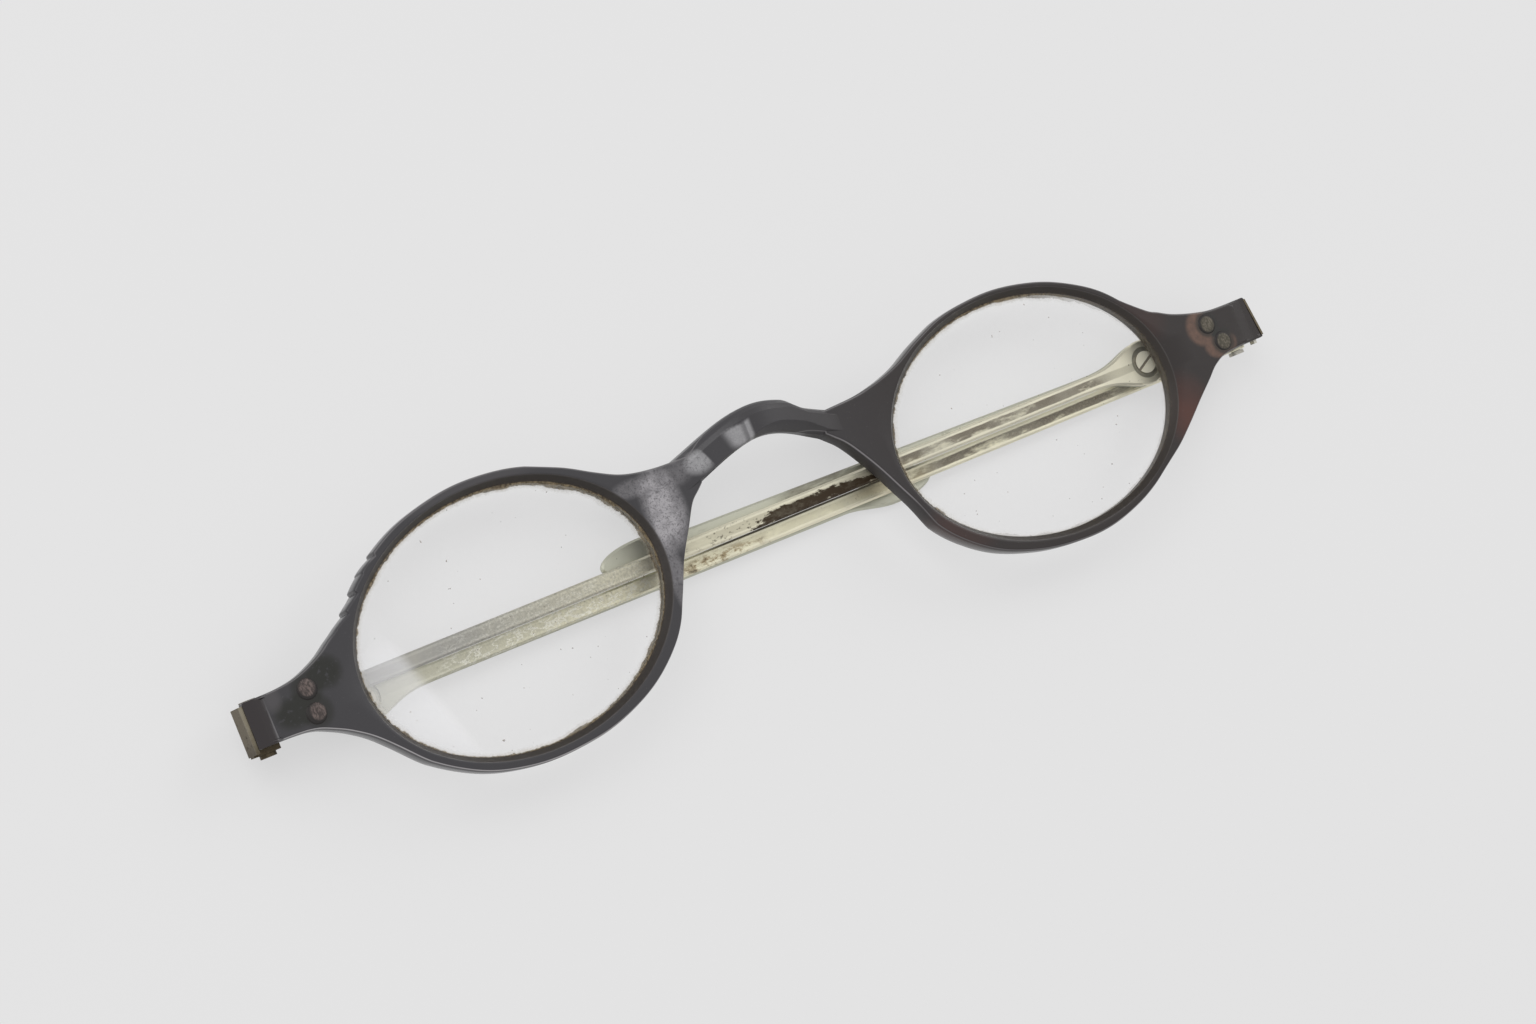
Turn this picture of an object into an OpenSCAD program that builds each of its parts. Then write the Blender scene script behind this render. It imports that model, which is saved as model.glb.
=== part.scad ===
// Turn-pin spectacles, folded, lying with the face of the front upward.
// x runs along the front, y toward the brow, z out of the face of the front.
// The origin is midway between the lenses, at the height of the lowest point.

/* [Front] */
// Length of the horn front over its two ends
front_len = 114.2; // [108:0.2:122]
// Distance between the centres of the two lens openings
lens_pitch = 59.6; // [58:0.2:62]
// Thickness of the front
front_t = 2.4; // [2.2:0.1:3]
// Half length of a lens opening at the face
eye_a = 16.4; // [15.4:0.1:16.8]
// Half height of a lens opening at the face
eye_b = 12.3; // [11:0.1:13.5]
// Mean droop of the outer ends of the two lens openings, in degrees
eye_droop = 3.75; // [2:0.25:7]
// How much more the left lens opening droops than the mean, in degrees
droop_skew = 1.75; // [0:0.25:2]
// Width of the flat face of the rim round a lens
rim_w = 0.6; // [0.5:0.05:1.2]
// Width of the sloping inner edge of the rim
bevel_w = 0.55; // [0.3:0.05:0.8]
// Depth of the sloping inner edge of the rim
bevel_d = 0.7; // [0.5:0.05:0.7]
// Spread of the outer wall of the front from its face to its back
wall_flare = 0.2; // [0.1:0.05:0.4]

/* [Ends] */
// Width of the face at each end of the front
end_w = 4; // [3.6:0.1:4.8]
// Height of the middle of the two ends above the lens centres
end_rise = 0.17; // [-1:0.01:1]
// Skew of the hand-cut ends, down at the left and up at the right
end_skew = 0.84; // [0:0.02:0.9]
// Length of the sloping facet at each end
facet_len = 1.9; // [1:0.1:2.5]
// Drop of the sloping facet at each end
facet_drop = 0.45; // [0.2:0.05:0.6]

/* [Bridge] */
// Height of the middle of the bridge above the lens centres
bridge_y = 8.9; // [8.6:0.1:10.5]
// Width of the bridge at its middle, from nose to brow
bridge_w = 3.2; // [2.6:0.1:3.6]
// Rise of the bridge out of the face of the front
bridge_arch = 1.9; // [0.5:0.1:3]
// Thickness of the bridge at its middle
bridge_t = 2.1; // [1.8:0.1:2.4]

/* [Lenses] */
// Depth to which a lens sits in the groove of its rim
groove_d = 0.35; // [0.2:0.05:0.45]
// Thickness of a lens at its edge
lens_edge_t = 0.8; // [0.6:0.05:0.9]
// Bulge of each face of a lens at its centre
lens_bulge = 0.35; // [0.1:0.05:0.5]
// Gap between the edge of a lens and its groove
lens_gap = 0.03; // [0.02:0.01:0.05]

/* [Joints] */
// Distance from the end of the front to the axis of a joint
joint_in = 1.25; // [1.15:0.05:1.5]
// Radius of a joint knuckle
knuckle_r = 1; // [0.9:0.05:1.05]
// Width of a joint over its fixed knuckles
joint_w = 4.6; // [4.2:0.1:4.8]
// How far a joint sits below the middle of its end
joint_low = 0.35; // [0:0.05:0.4]
// Radius of the shank of a joint pin
joint_pin_r = 0.5; // [0.4:0.05:0.55]
// Radius of the head of a joint pin
joint_head_r = 0.78; // [0.7:0.02:0.85]
// Height of the head of a joint pin
joint_head_h = 0.35; // [0.25:0.05:0.5]
// Running clearance round a pin, on the radius
pin_gap = 0.03; // [0.02:0.01:0.06]
// Gap between two knuckles on one pin
knuckle_gap = 0.06; // [0.03:0.01:0.1]
// Length of a joint plate, from the end of the front
plate_len = 8.7; // [8:0.1:9]
// Thickness of a joint plate
plate_t = 0.8; // [0.6:0.05:0.9]
// Width of a joint plate
plate_w = 3.9; // [3.8:0.05:4]
// Thickness of the lip that a joint plate turns up over the end of the front
lip_t = 0.35; // [0.25:0.05:0.45]
// Radius of the shank of a rivet
rivet_r = 0.55; // [0.4:0.05:0.6]
// Radius of the head of a rivet
rivet_head_r = 1; // [0.85:0.05:1.05]
// Height of the head of a rivet over the face
rivet_head_h = 0.14; // [0.08:0.02:0.24]

/* [Sides] */
// Width of the bar of a side
side_w = 1.5; // [1.3:0.05:1.5]
// Thickness of the bar of a side and of a tip
side_t = 0.68; // [0.6:0.01:0.68]
// Width of the knuckle of a side
root_w = 1.6; // [1.55:0.05:1.6]
// Chamfer along the edges of a bar
bar_chamfer = 0.2; // [0.1:0.01:0.25]
// Gap between the back of the front and the first side
fold_gap = 0.3; // [0.2:0.05:0.4]
// Gap between the two folded sides
stack_gap = 0.1; // [0.08:0.01:0.12]
// Distance between the centre lines of the two folded sides
lane_gap = 1.6; // [1.6:0.02:1.7]
// Turn of the folded sides in the plane of the front, in degrees
lane_turn = 0.77; // [0.7:0.01:0.9]
// Height of the root of the left side over the middle of its end
root_rise = 0.15; // [0:0.05:0.2]

/* [Turn pins] */
// Distance from the left side's turn pin to the joint axis at the right
left_room = 10.25; // [9.8:0.05:13]
// Distance from the right side's turn pin to the joint axis at the left
right_room = 10.8; // [10.8:0.1:13]
// Radius of the boss round a turn pin
boss_r = 2.3; // [2.1:0.05:2.3]
// Length over which a bar swells into its boss
boss_flare = 3.3; // [2.5:0.1:4]
// Radius of the recess round the head of a turn pin
recess_r = 1.9; // [1.5:0.05:1.9]
// Depth of the recess round the head of a turn pin
recess_d = 0.2; // [0.1:0.02:0.26]
// Radius of the head of a turn pin
turn_head_r = 1.12; // [1:0.02:1.25]
// Radius of the shank of a turn pin
turn_pin_r = 0.55; // [0.4:0.05:0.65]
// Radius of the riveted tail of a turn pin
tail_r = 0.85; // [0.75:0.05:1]
// Depth of the riveted tail of a turn pin
tail_d = 0.2; // [0.12:0.02:0.25]
// Width of the slot in the head of a turn pin
slot_w = 0.28; // [0.2:0.02:0.35]
// Gap between a side and its turned tip
leaf_gap = 0.05; // [0.03:0.01:0.06]

/* [Tips] */
// Length of a tip from its turn pin to its end
tip_len = 64; // [55:0.5:66]
// Half width of the paddle at the end of a tip
paddle_r = 1.6; // [1.2:0.05:1.7]
// Length of the paddle at the end of a tip
paddle_len = 10.5; // [8:0.5:12]
// Lean of the left tip away from its side, in degrees
left_lean = 1; // [0.8:0.1:1.5]
// Lean of the right tip away from its side, in degrees
right_lean = 0.3; // [0.1:0.1:0.5]

/* [Hidden] */
$fn = 48;
eps = 0.01;
horn = "#3d3634";
silver = "#cfcbae";
brass = "#8f835c";
glass = [0.9, 0.93, 0.93, 0.35];

half_len = front_len / 2;
eye_x = lens_pitch / 2;
// Room from a lens opening to the end of the front, and to the middle of the front
reach = half_len - eye_x - eye_a;
web = eye_x - eye_a;
// Back face, and the planes of the folded sides under it
back = -front_t;
left_top = back - fold_gap;
right_top_near = left_top - 2 * side_t - leaf_gap - stack_gap;
right_top_far = left_top - side_t - stack_gap;
joint_x = half_len - joint_in;
joint_z = back + 0.1;
left_turn = joint_x - left_room;
right_turn = joint_x - right_room;
right_tilt = atan((right_top_far - right_top_near) / (left_turn + right_turn));
left_drop = joint_z - left_top;
right_drop = (joint_z - right_top_near + left_room * tan(right_tilt)) * cos(right_tilt);
lift = -(right_top_far - tan(right_tilt) * tip_len - 2 * side_t - leaf_gap);
left_y = end_y(-1) + root_rise;
right_y = left_y + 2 * joint_x * tan(lane_turn) - lane_gap / cos(lane_turn);
mid_z = back / 2;
notch_z = joint_z + knuckle_r + knuckle_gap;
notch_x = joint_x - 1.45 * knuckle_r;
side_bore = turn_pin_r + pin_gap;
tip_boss = boss_r - 0.1;
// Rivets, as shares of the plate's length from the end and of its width from its middle
rivet_at = [[0.69, 0.333], [0.69, -0.256]];
rivet_at_right = [[0.563, 0.27], [0.437, -0.27]];

function end_y(s) = end_rise + s * end_skew;
function smooth(t) = let (k = min(1, max(0, t))) k * k * (3 - 2 * k);
// Point of a lens ellipse grown by g, at angle q, with its outer end drooping
function droop(s) = eye_droop - s * droop_skew;
function eye(q, g, s) = let (a = (eye_a + g) * cos(q), b = (eye_b + g) * sin(q), d = droop(s))
    [eye_x + a * cos(d) + b * sin(d), b * cos(d) - a * sin(d)];
// Smooth curve through the points p, n steps to each span
function curve(p, n) = [for (i = [0 : len(p) - 2], j = [0 : n - 1])
    let (t = j / n, a = p[max(0, i - 1)], b = p[i], c = p[i + 1], d = p[min(len(p) - 1, i + 2)])
    0.5 * (2 * b + (c - a) * t + (2 * a - 5 * b + 4 * c - d) * t * t
        + (3 * b - a - 3 * c + d) * t * t * t)];
// Closed outline p grown outward by g, for an outline that runs anticlockwise
function grow(p, g) = let (n = len(p)) [for (i = [0 : n - 1])
    let (a = p[i] - p[(i + n - 1) % n], b = p[(i + 1) % n] - p[i],
        m = [a.y, -a.x] / norm(a), k = [b.y, -b.x] / norm(b))
    p[i] + g * (m + k) / (1 + m * k)];
function raise(p, z) = [for (q = p) [q.x, q.y, z]];
function flip(p) = [for (i = [len(p) - 1 : -1 : 0]) [-p[i].x, p[i].y]];

// A point on the edge of an end: u is its share of the way in to the lens, v its share of the
// width of the end, and the skew of the end eases in from the rim
function tail(p, s) = [half_len - p.x * reach, p.y * end_w + end_y(s) * smooth((1.2 - p.x) / 0.69)];
crown_at = [[1.01, 1.2], [0.89, 1], [0.743, 0.79], [0.523, 0.6], [0.303, 0.51]];
sole_at = [[0.321, -0.525], [0.505, -0.625], [0.651, -0.81], [0.817, -1.11], [1, -1.48]];
function crown(s) = [for (p = crown_at) tail(p, s)];
function sole(s) = [for (p = sole_at) tail(p, s)];
// The ends run on past their length here, and are cut square later
function corner(s, v) = [half_len + 0.9 * end_w, end_y(s) + v * end_w / 2];
// Edges of the web beside the nose and at the brow, as shares of its half width and of eye_b
nose_at = [[0.537, 0.455], [0.672, 0.313], [0.784, 0.13], [0.896, -0.081], [0.985, -0.27]];
brow_at = [[1.507, 0.87], [1.269, 0.748], [1.06, 0.667], [0.821, 0.63], [0.537, 0.667]];
function in_web(p) = [p.x * web, p.y * eye_b];
// Face outline of half the front, anticlockwise from the nose side of the bridge
function outline(s) = concat(
    curve(concat([for (p = nose_at) in_web(p)], [eye(208, rim_w, s)]), 3),
    [for (q = [208 : 8 : 320]) eye(q, rim_w, s)],
    curve(concat([eye(326, rim_w, s)], reverse(sole(s)), [corner(s, -1)]), 2),
    [corner(s, -1)],
    curve(concat([corner(s, 1)], reverse(crown(s)), [eye(38, rim_w, s)]), 2),
    [for (q = [38 : 8 : 110]) eye(q, rim_w, s)],
    curve(concat([eye(116, rim_w, s)], [for (p = brow_at) in_web(p)]), 3),
    [in_web(brow_at[4])]);
// Angle on the lens ellipse of the ray from the middle of the lens through p
function ray(p, s) = let (x = p.x - eye_x, d = droop(s))
    atan2((x * sin(d) + p.y * cos(d)) / eye_b, (x * cos(d) - p.y * sin(d)) / eye_a);
function reverse(p) = [for (i = [len(p) - 1 : -1 : 0]) p[i]];
// Section of the front: outer wall upward, face, sloping edge, lens groove, back
throat = lens_edge_t / 2 + lens_gap;
groove = groove_d - bevel_w + lens_gap;
outer_wall = [[0, back], [wall_flare * 0.8, back * 0.9], [wall_flare, back * 0.7],
    [wall_flare * 0.9, back / 6], [wall_flare * 0.6, back / 20], [0, 0]];
inner_wall = [[0, 0], [-bevel_w, -bevel_d], [-bevel_w, mid_z + throat], [groove, mid_z + throat],
    [groove, mid_z - throat], [-bevel_w, mid_z - throat], [-bevel_w, back]];
function side_of(p, s) = s > 0 ? p : flip(p);
function half_rings(s) = let (t = outline(s)) concat(
    [for (w = outer_wall) raise(side_of(grow(t, w[0]), s), w[1])],
    [for (w = inner_wall) raise(side_of([for (k = t) eye(ray(k, s), w[0], s)], s), w[1])]);

// Stacks rings of equal length, lowest first, into one closed solid
module stack(rings) {
    n = len(rings[0]);
    m = len(rings);
    polyhedron(points = [for (r = rings) each r],
        faces = concat([[for (i = [0 : n - 1]) i]],
            [for (k = [0 : m - 2], i = [0 : n - 1]) let (j = (i + 1) % n)
                [k * n + i, (k + 1) * n + i, (k + 1) * n + j, k * n + j]],
            [[for (i = [n - 1 : -1 : 0]) (m - 1) * n + i]]), convexity = 8);
}

// A flat bar with its edges chamfered, its top at height 0.
// Its outline p is the same on both sides of x, and runs from the start of its lower edge.
module leaf(p) {
    c = bar_chamfer;
    n = len(p);
    rings = [raise(grow(p, -c), -side_t), raise(p, c - side_t), raise(p, -c), raise(grow(p, -c), 0)];
    strip = [for (i = [0 : n / 2 - 2]) [i, i + 1, n - 2 - i, n - 1 - i]];
    polyhedron(points = [for (r = rings) each r],
        faces = concat(strip, [for (k = [0 : 2], i = [0 : n - 1]) let (j = (i + 1) % n)
                [k * n + i, (k + 1) * n + i, (k + 1) * n + j, k * n + j]],
            [for (f = strip) [for (i = [3 : -1 : 0]) 3 * n + f[i]]]), convexity = 4);
}

// Half of the front, a closed ring of rings round its lens
module half_front(s) {
    r = half_rings(s);
    n = len(r[0]);
    m = len(r);
    polyhedron(points = [for (k = r) each k],
        faces = [for (k = [0 : m - 1], i = [0 : n - 1]) let (j = (i + 1) % n, l = (k + 1) % m)
            [k * n + i, l * n + i, l * n + j, k * n + j]], convexity = 8);
}
function eye_ring(s, g) = side_of([for (q = [0 : 6 : 354]) eye(q, g, s)], s);

// The bridge: a bar that bows up to the brow and out of the face
// Its foot stands on the web, and c is the small step that its edges are cut by.
foot_y = 0.5 * eye_b;
function bow(x) = 1 - smooth(abs(x) / (0.71 * web));
function bridge_ring(x) = let (k = bow(x), w = bridge_w, c = bridge_w / 16, f = x / web,
        y = foot_y + (bridge_y - foot_y) * (1 - 1.8 * f * f + pow(cos(120 * f), 2)) / 2,
        skirt = 2 * c * (1 - k),
        z = bridge_arch * k - 0.02,
        b = back + 0.02 + (front_t - bridge_t + bridge_arch) * k)
    [[x, y - w / 2 + 1.75 * c - skirt, b], [x, y - w / 2 - skirt, b + 2.25 * c],
        [x, y - w / 2, z - 1.75 * c], [x, y - w / 2 + 1.1 * c, z],
        [x, y + w / 2 - 5 * c, z], [x, y + w / 2 - 1.25 * c, z - 2.75 * c],
        [x, y + w / 2, z - 5.25 * c], [x, y + w / 2, b + 1.75 * c], [x, y + w / 2 - 1.75 * c, b]];
module bridge() stack([for (i = [-12 : 12]) reverse(bridge_ring(i * 0.0597 * web))]);

module front() color(horn) translate([0, 0, lift]) difference() {
    union() {
        half_front(-1);
        half_front(1);
        bridge();
    }
    for (s = [-1, 1]) {
        end_cuts(s);
        for (r = rivet_points(s)) translate([r.x, r.y, back - 1])
            cylinder(h = front_t + 2, r = rivet_r + lens_gap);
    }
}

// Square end, sloping facet, notch for the knuckles and pocket for the plate
module end_cuts(s) {
    mirror([s > 0 ? 0 : 1, 0, 0]) {
        translate([half_len, end_y(s) - 6, -6]) cube([6, 12, 12]);
        translate([half_len - facet_len, end_y(s) - 6, 0])
            rotate([0, atan(facet_drop / facet_len), 0]) cube([8, 12, 6]);
        translate([notch_x, end_y(s) - 6, notch_z - 6]) cube([8, 12, 6]);
        translate([0, end_y(s), back - 1]) linear_extrude(plate_t + 1)
            plate_shape(knuckle_gap / 2);
    }
}

// Outline of the sunk part of a joint plate, grown by g
module plate_shape(g) {
    r = plate_w / 2 + g;
    x = half_len - plate_len + plate_w / 2;
    translate([x, 0]) circle(r);
    translate([x, -r]) square([joint_x - x, 2 * r]);
}

function rivet_points(s) = [for (r = s > 0 ? rivet_at_right : rivet_at)
    [s * (half_len - r.x * plate_len), end_y(s) + r.y * plate_w]];

// Middle and width of the gap left for the knuckle of a side
function root_y(s) = s > 0 ? right_y : left_y;

module joint_plate(s) {
    top = notch_z - knuckle_gap;
    lip_x = half_len + eps;
    y0 = end_y(s) - joint_low - joint_w / 2;
    low = s > 0 ? y0 - 1 : root_y(s) - root_w / 2 - knuckle_gap;
    high = root_y(s) + root_w / 2 + knuckle_gap;
    difference() {
        union() {
            mirror([s > 0 ? 0 : 1, 0, 0]) {
                translate([0, end_y(s), back]) linear_extrude(plate_t) plate_shape(0);
                translate([joint_x - knuckle_r, y0, joint_z]) cube([knuckle_r, joint_w, knuckle_r]);
                translate([joint_x, y0, joint_z])
                    cube([lip_x + lip_t - joint_x, joint_w, knuckle_r - knuckle_gap]);
                translate([lip_x, y0 + joint_low / 2, joint_z - knuckle_r * 0.45])
                    cube([lip_t, joint_w - joint_low / 2, knuckle_r * 0.45 - facet_drop - 0.1 - joint_z]);
            }
            translate([s * joint_x, y0, joint_z]) rotate([-90, 0, 0]) cylinder(h = joint_w, r = knuckle_r);
        }
        // room for the knuckle of the side: open below the lip at the right, where the arm swings out
        translate([s > 0 ? notch_x : -half_len, low, notch_z - 6])
            cube([s > 0 ? 8 : half_len - notch_x, high - low, 6]);
        translate([s * joint_x, y0 - 1, joint_z]) rotate([-90, 0, 0])
            cylinder(h = joint_w + 2, r = joint_pin_r + eps);
        for (r = rivet_points(s)) {
            translate([r.x, r.y, back - 1]) cylinder(h = plate_t + 2, r = rivet_r + lens_gap);
            translate([r.x, r.y, back - eps])
                cylinder(h = 0.3, r1 = rivet_r + 0.33, r2 = rivet_r + lens_gap);
        }
    }
}

// Rivet: domed head on the face, shank, and a tail closed flush in the plate
module rivet(p) color(silver) translate([p.x, p.y, lift]) rotate_extrude()
    polygon([[0, back], [rivet_r + 0.28, back], [rivet_r, back + 0.28], [rivet_r, 0],
        [rivet_head_r, 0], [rivet_head_r - 0.12, rivet_head_h * 0.7],
        [rivet_head_r * 0.6, rivet_head_h], [0, rivet_head_h]]);

// Joint pin: a shank with a flat head at each end
module joint_pin(s) color(silver) {
    a = min(end_y(s) - joint_low - joint_w / 2, root_y(s) - root_w / 2);
    y0 = s > 0 ? root_y(s) - root_w / 2 - knuckle_gap : a - eps;
    y1 = end_y(s) - joint_low + joint_w / 2 + eps;
    translate([s * joint_x, 0, joint_z + lift]) rotate([-90, 0, 0]) {
        translate([0, 0, y0 - eps]) cylinder(h = y1 - y0 + 2 * eps, r = joint_pin_r);
        translate([0, 0, y0 - joint_head_h]) cylinder(h = joint_head_h, r = joint_head_r);
        translate([0, 0, y1]) cylinder(h = joint_head_h, r = joint_head_r);
    }
}

// Half width of a bar at distance d from the middle of a boss of radius r
function side_len(s) = joint_x + (s > 0 ? right_turn : left_turn);
function swell(d, r) = side_w / 2 + (r - side_w / 2) * exp(-pow(d / boss_flare, 2));
// Outline of a side: x from its joint to its turn pin
function side_shape(n) = let (far = concat([n], [for (d = [9 : -1 : 1]) d]))
    concat([for (d = far) [n - d, -swell(d, boss_r)]],
        [for (q = [-85 : 10 : 85]) [n + boss_r * cos(q), boss_r * sin(q)]],
        [for (d = reverse(far)) [n - d, swell(d, boss_r)]]);
// Half width of a tip at distance x from its turn pin
function tip_half(x) = let (e = tip_len - x, m = paddle_len * 0.45, n = min(1, e / m))
    e < m ? paddle_r * sqrt(max(0.0001, 1 - pow(1 - n, 2)))
        : max(swell(x, tip_boss),
            side_w / 2 + (paddle_r - side_w / 2) * (1 - smooth((e - m) / (paddle_len - m))));
function tip_x() = concat([for (d = [1 : 9]) d], [tip_len / 2],
    [for (e = [1 : -0.11 : 0.45]) tip_len - paddle_len * e],
    [for (e = [0.4, 0.3, 0.2, 0.12, 0.06, 0.02, 0]) tip_len - paddle_len * e]);
function tip_shape() = concat([for (q = [185 : 10 : 265]) tip_boss * [cos(q), sin(q)]],
    [for (x = tip_x()) [x, -tip_half(x)]], [for (x = reverse(tip_x())) [x, tip_half(x)]],
    [for (q = [95 : 10 : 175]) tip_boss * [cos(q), sin(q)]]);

// Sets a side's own frame, x from its joint along the bar, into the folded part
module place(s) {
    translate([s * joint_x, root_y(s), joint_z + lift])
        rotate([0, s > 0 ? right_tilt : 0, 0]) rotate([0, 0, (s > 0 ? 180 : 0) + lane_turn])
        children();
}

module side(s) color(silver) place(s) {
    drop = s > 0 ? right_drop : left_drop;
    w = root_w;
    difference() {
        union() {
            translate([0, 0, -drop]) leaf(side_shape(side_len(s)));
            rotate([90, 0, -lane_turn]) translate([0, 0, -w / 2]) cylinder(h = w, r = knuckle_r);
            hull() {
                rotate([90, 0, -lane_turn]) translate([0, 0, 0.01 - w / 2])
                    cylinder(h = w - 0.02, r = knuckle_r * 0.97);
                translate([0.1, 0.03 - w / 2, -drop - side_t * 0.95])
                    cube([drop > knuckle_r ? 2.4 : 1.1, w - 0.06, side_t * 0.9]);
            }
        }
        rotate([90, 0, -lane_turn]) translate([0, 0, -w])
            cylinder(h = 2 * w, r = joint_pin_r + pin_gap);
        translate([side_len(s), 0, -drop - 2]) cylinder(h = 4, r = side_bore);
        translate([side_len(s), 0, -drop - recess_d]) cylinder(h = 1, r = recess_r);
    }
}

// Turn pin: slotted head sunk in its recess, shank, and tail flush under the tip
module turn_pin(s) color(brass) place(s) {
    drop = s > 0 ? right_drop : left_drop;
    bottom = -2 * side_t - leaf_gap;
    translate([side_len(s), 0, -drop]) difference() {
        union() {
            translate([0, 0, bottom]) cylinder(h = -bottom, r = turn_pin_r);
            translate([0, 0, bottom]) cylinder(h = tail_d, r = tail_r);
            translate([0, 0, -recess_d]) cylinder(h = recess_d, r = turn_head_r);
        }
        rotate([0, 0, 28]) translate([-2, -slot_w / 2, -0.11]) cube([4, slot_w, 1]);
    }
}

// Tip: lies under its side, turned back from its pin
module tip(s) color(silver) place(s) {
    drop = s > 0 ? right_drop : left_drop;
    lean = s > 0 ? right_lean : left_lean;
    translate([side_len(s), 0, -drop - side_t - leaf_gap]) rotate([0, 0, 180 - lean]) difference() {
        leaf(tip_shape());
        translate([0, 0, -side_t - 1]) cylinder(h = 3, r = side_bore);
        translate([0, 0, -side_t - 1]) cylinder(h = 1 + tail_d + pin_gap, r = tail_r + pin_gap);
    }
}

// Lens: a thin oval disc, bulged on both faces
module lens(s) color(glass) translate([0, 0, lift + mid_z]) {
    g = groove_d - bevel_w;
    prof = [[0.04, -1], [0.3, -0.9], [0.6, -0.64], [0.85, -0.28], [1, 0]];
    h = lens_edge_t / 2;
    low = [for (w = prof) [w[0], -h + lens_bulge * w[1]]];
    rings = concat(low, reverse([for (w = low) [w[0], -w[1]]]));
    stack([for (w = rings) raise(lens_ring(s, g, w[0]), w[1])]);
}
function lens_ring(s, g, k) = let (c = [s * eye_x, 0]) [for (p = eye_ring(s, g)) c + (p - c) * k];

front();
lens(-1);  // lens_left
lens(1);  // lens_right
color(brass) translate([0, 0, lift]) joint_plate(-1);  // joint_plate_left
color(brass) translate([0, 0, lift]) joint_plate(1);  // joint_plate_right
rivet(rivet_points(-1)[0]);  // rivet_left_upper
rivet(rivet_points(-1)[1]);  // rivet_left_lower
rivet(rivet_points(1)[0]);  // rivet_right_upper
rivet(rivet_points(1)[1]);  // rivet_right_lower
joint_pin(-1);  // joint_pin_left
joint_pin(1);  // joint_pin_right
side(-1);  // side_left
side(1);  // side_right
turn_pin(-1);  // turn_pin_left
turn_pin(1);  // turn_pin_right
tip(-1);  // tip_left
tip(1);  // tip_right
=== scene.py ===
"""Turn-pin spectacles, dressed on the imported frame: horn front, clear lenses, metal sides."""
import math

import bpy
import numpy as np
from mathutils import Matrix, Vector


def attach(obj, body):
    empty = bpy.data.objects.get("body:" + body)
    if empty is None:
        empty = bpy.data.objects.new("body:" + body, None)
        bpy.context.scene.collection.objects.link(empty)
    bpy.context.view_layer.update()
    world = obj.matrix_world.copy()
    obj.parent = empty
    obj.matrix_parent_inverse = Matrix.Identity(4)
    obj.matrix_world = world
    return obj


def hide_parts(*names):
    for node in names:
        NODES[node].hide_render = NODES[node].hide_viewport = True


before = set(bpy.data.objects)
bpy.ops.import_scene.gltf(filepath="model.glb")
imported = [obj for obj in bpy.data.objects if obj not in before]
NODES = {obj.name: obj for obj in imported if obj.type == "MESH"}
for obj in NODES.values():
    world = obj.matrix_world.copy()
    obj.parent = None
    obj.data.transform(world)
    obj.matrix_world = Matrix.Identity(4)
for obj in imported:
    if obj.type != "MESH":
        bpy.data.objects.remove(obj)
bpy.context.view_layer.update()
MM = 0.001
# The two halves, as the face side is seen; s stands for one of them in what follows
LEFT, RIGHT = -1, 1
SIDES = (LEFT, RIGHT)
NAME = {LEFT: "left", RIGHT: "right"}

# Sizes in millimetres: x runs along the front to the right, y to the brow, z out of its face
FRONT_LEN, LENS_PITCH, FRONT_T = 114.2, 59.6, 2.4
# Width and depth of the bevel round each lens
BEVEL_W, BEVEL_D = 0.55, 0.7
# Each lens opening as cut by hand: half width, half height, shift of its middle, droop
EYE = {LEFT: (16.45, 12.42, 0.0, -0.12, math.radians(5.5)),
       RIGHT: (16.6, 12.3, 0.05, 0.0, math.radians(2.0))}
# Width of the rim's face at each eighth of a turn from the outer end of the lens
RIM = {LEFT: (0.70, 0.58, 0.52, 0.66, 0.75, 0.92, 0.62, 0.62),
       RIGHT: (0.50, 0.40, 0.24, 0.28, 0.60, 0.95, 0.68, 0.40)}
# An end's width, the rise and skew of its middle line, and the facet that slopes down it
END_W, END_RISE, END_SKEW = 4.0, 0.17, 0.84
FACET_LEN, FACET_DROP = 1.9, 0.45
# Height of the bridge at its middle and at its feet, its width, arch and thickness
BRIDGE_Y, BRIDGE_FOOT_Y, BRIDGE_W, BRIDGE_ARCH, BRIDGE_T = 8.9, 6.1, 3.2, 1.9, 2.1
# Thickness of a leaf, and gaps over it, between the leaves of a side and between the sides
SIDE_T, FOLD_GAP, LEAF_GAP, STACK_GAP = 0.68, 0.3, 0.05, 0.1
# Distance of a joint from its end and of each turn pin from the far joint, length of a tip
JOINT_IN, LEFT_ROOM, RIGHT_ROOM, TIP_LEN = 1.25, 10.25, 10.8, 64.0
# Widths of a bar and its root, and the gap, turn and rise of the lanes of the two bars
SIDE_W, ROOT_W, LANE_GAP, LANE_TURN, ROOT_RISE = 1.58, 1.6, 1.6, math.radians(0.77), 0.15
# Radii of a knuckle and its pin, the play round the pin and over the knuckle
KNUCKLE_R, JOINT_PIN_R, PIN_GAP, KNUCKLE_GAP = 1.0, 0.5, 0.03, 0.06
# A boss: radius, length of its flare, radius and depth of its recess; then a tip's paddle
BOSS_R, BOSS_FLARE, RECESS_R, RECESS_D = 2.3, 3.3, 1.6, 0.2
PADDLE_R, PADDLE_LEN = 1.6, 10.5
# Degrees by which each folded tip stays short of lying straight back
LEAN = {LEFT: 1.0, RIGHT: 0.3}
# How deep a lens sits in its groove, how thick its edge is and how far each face bulges
GROOVE_D, LENS_EDGE_T, LENS_BULGE = 0.35, 0.8, 0.35
# Middles of the rivets' heads
RIVET_AT = {LEFT: ((-51.08, 0.76), (-50.91, -1.54)), RIGHT: ((52.22, 2.04), (53.33, -0.11))}

HALF_LEN, EYE_X, BACK = FRONT_LEN / 2, LENS_PITCH / 2, -FRONT_T
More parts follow.
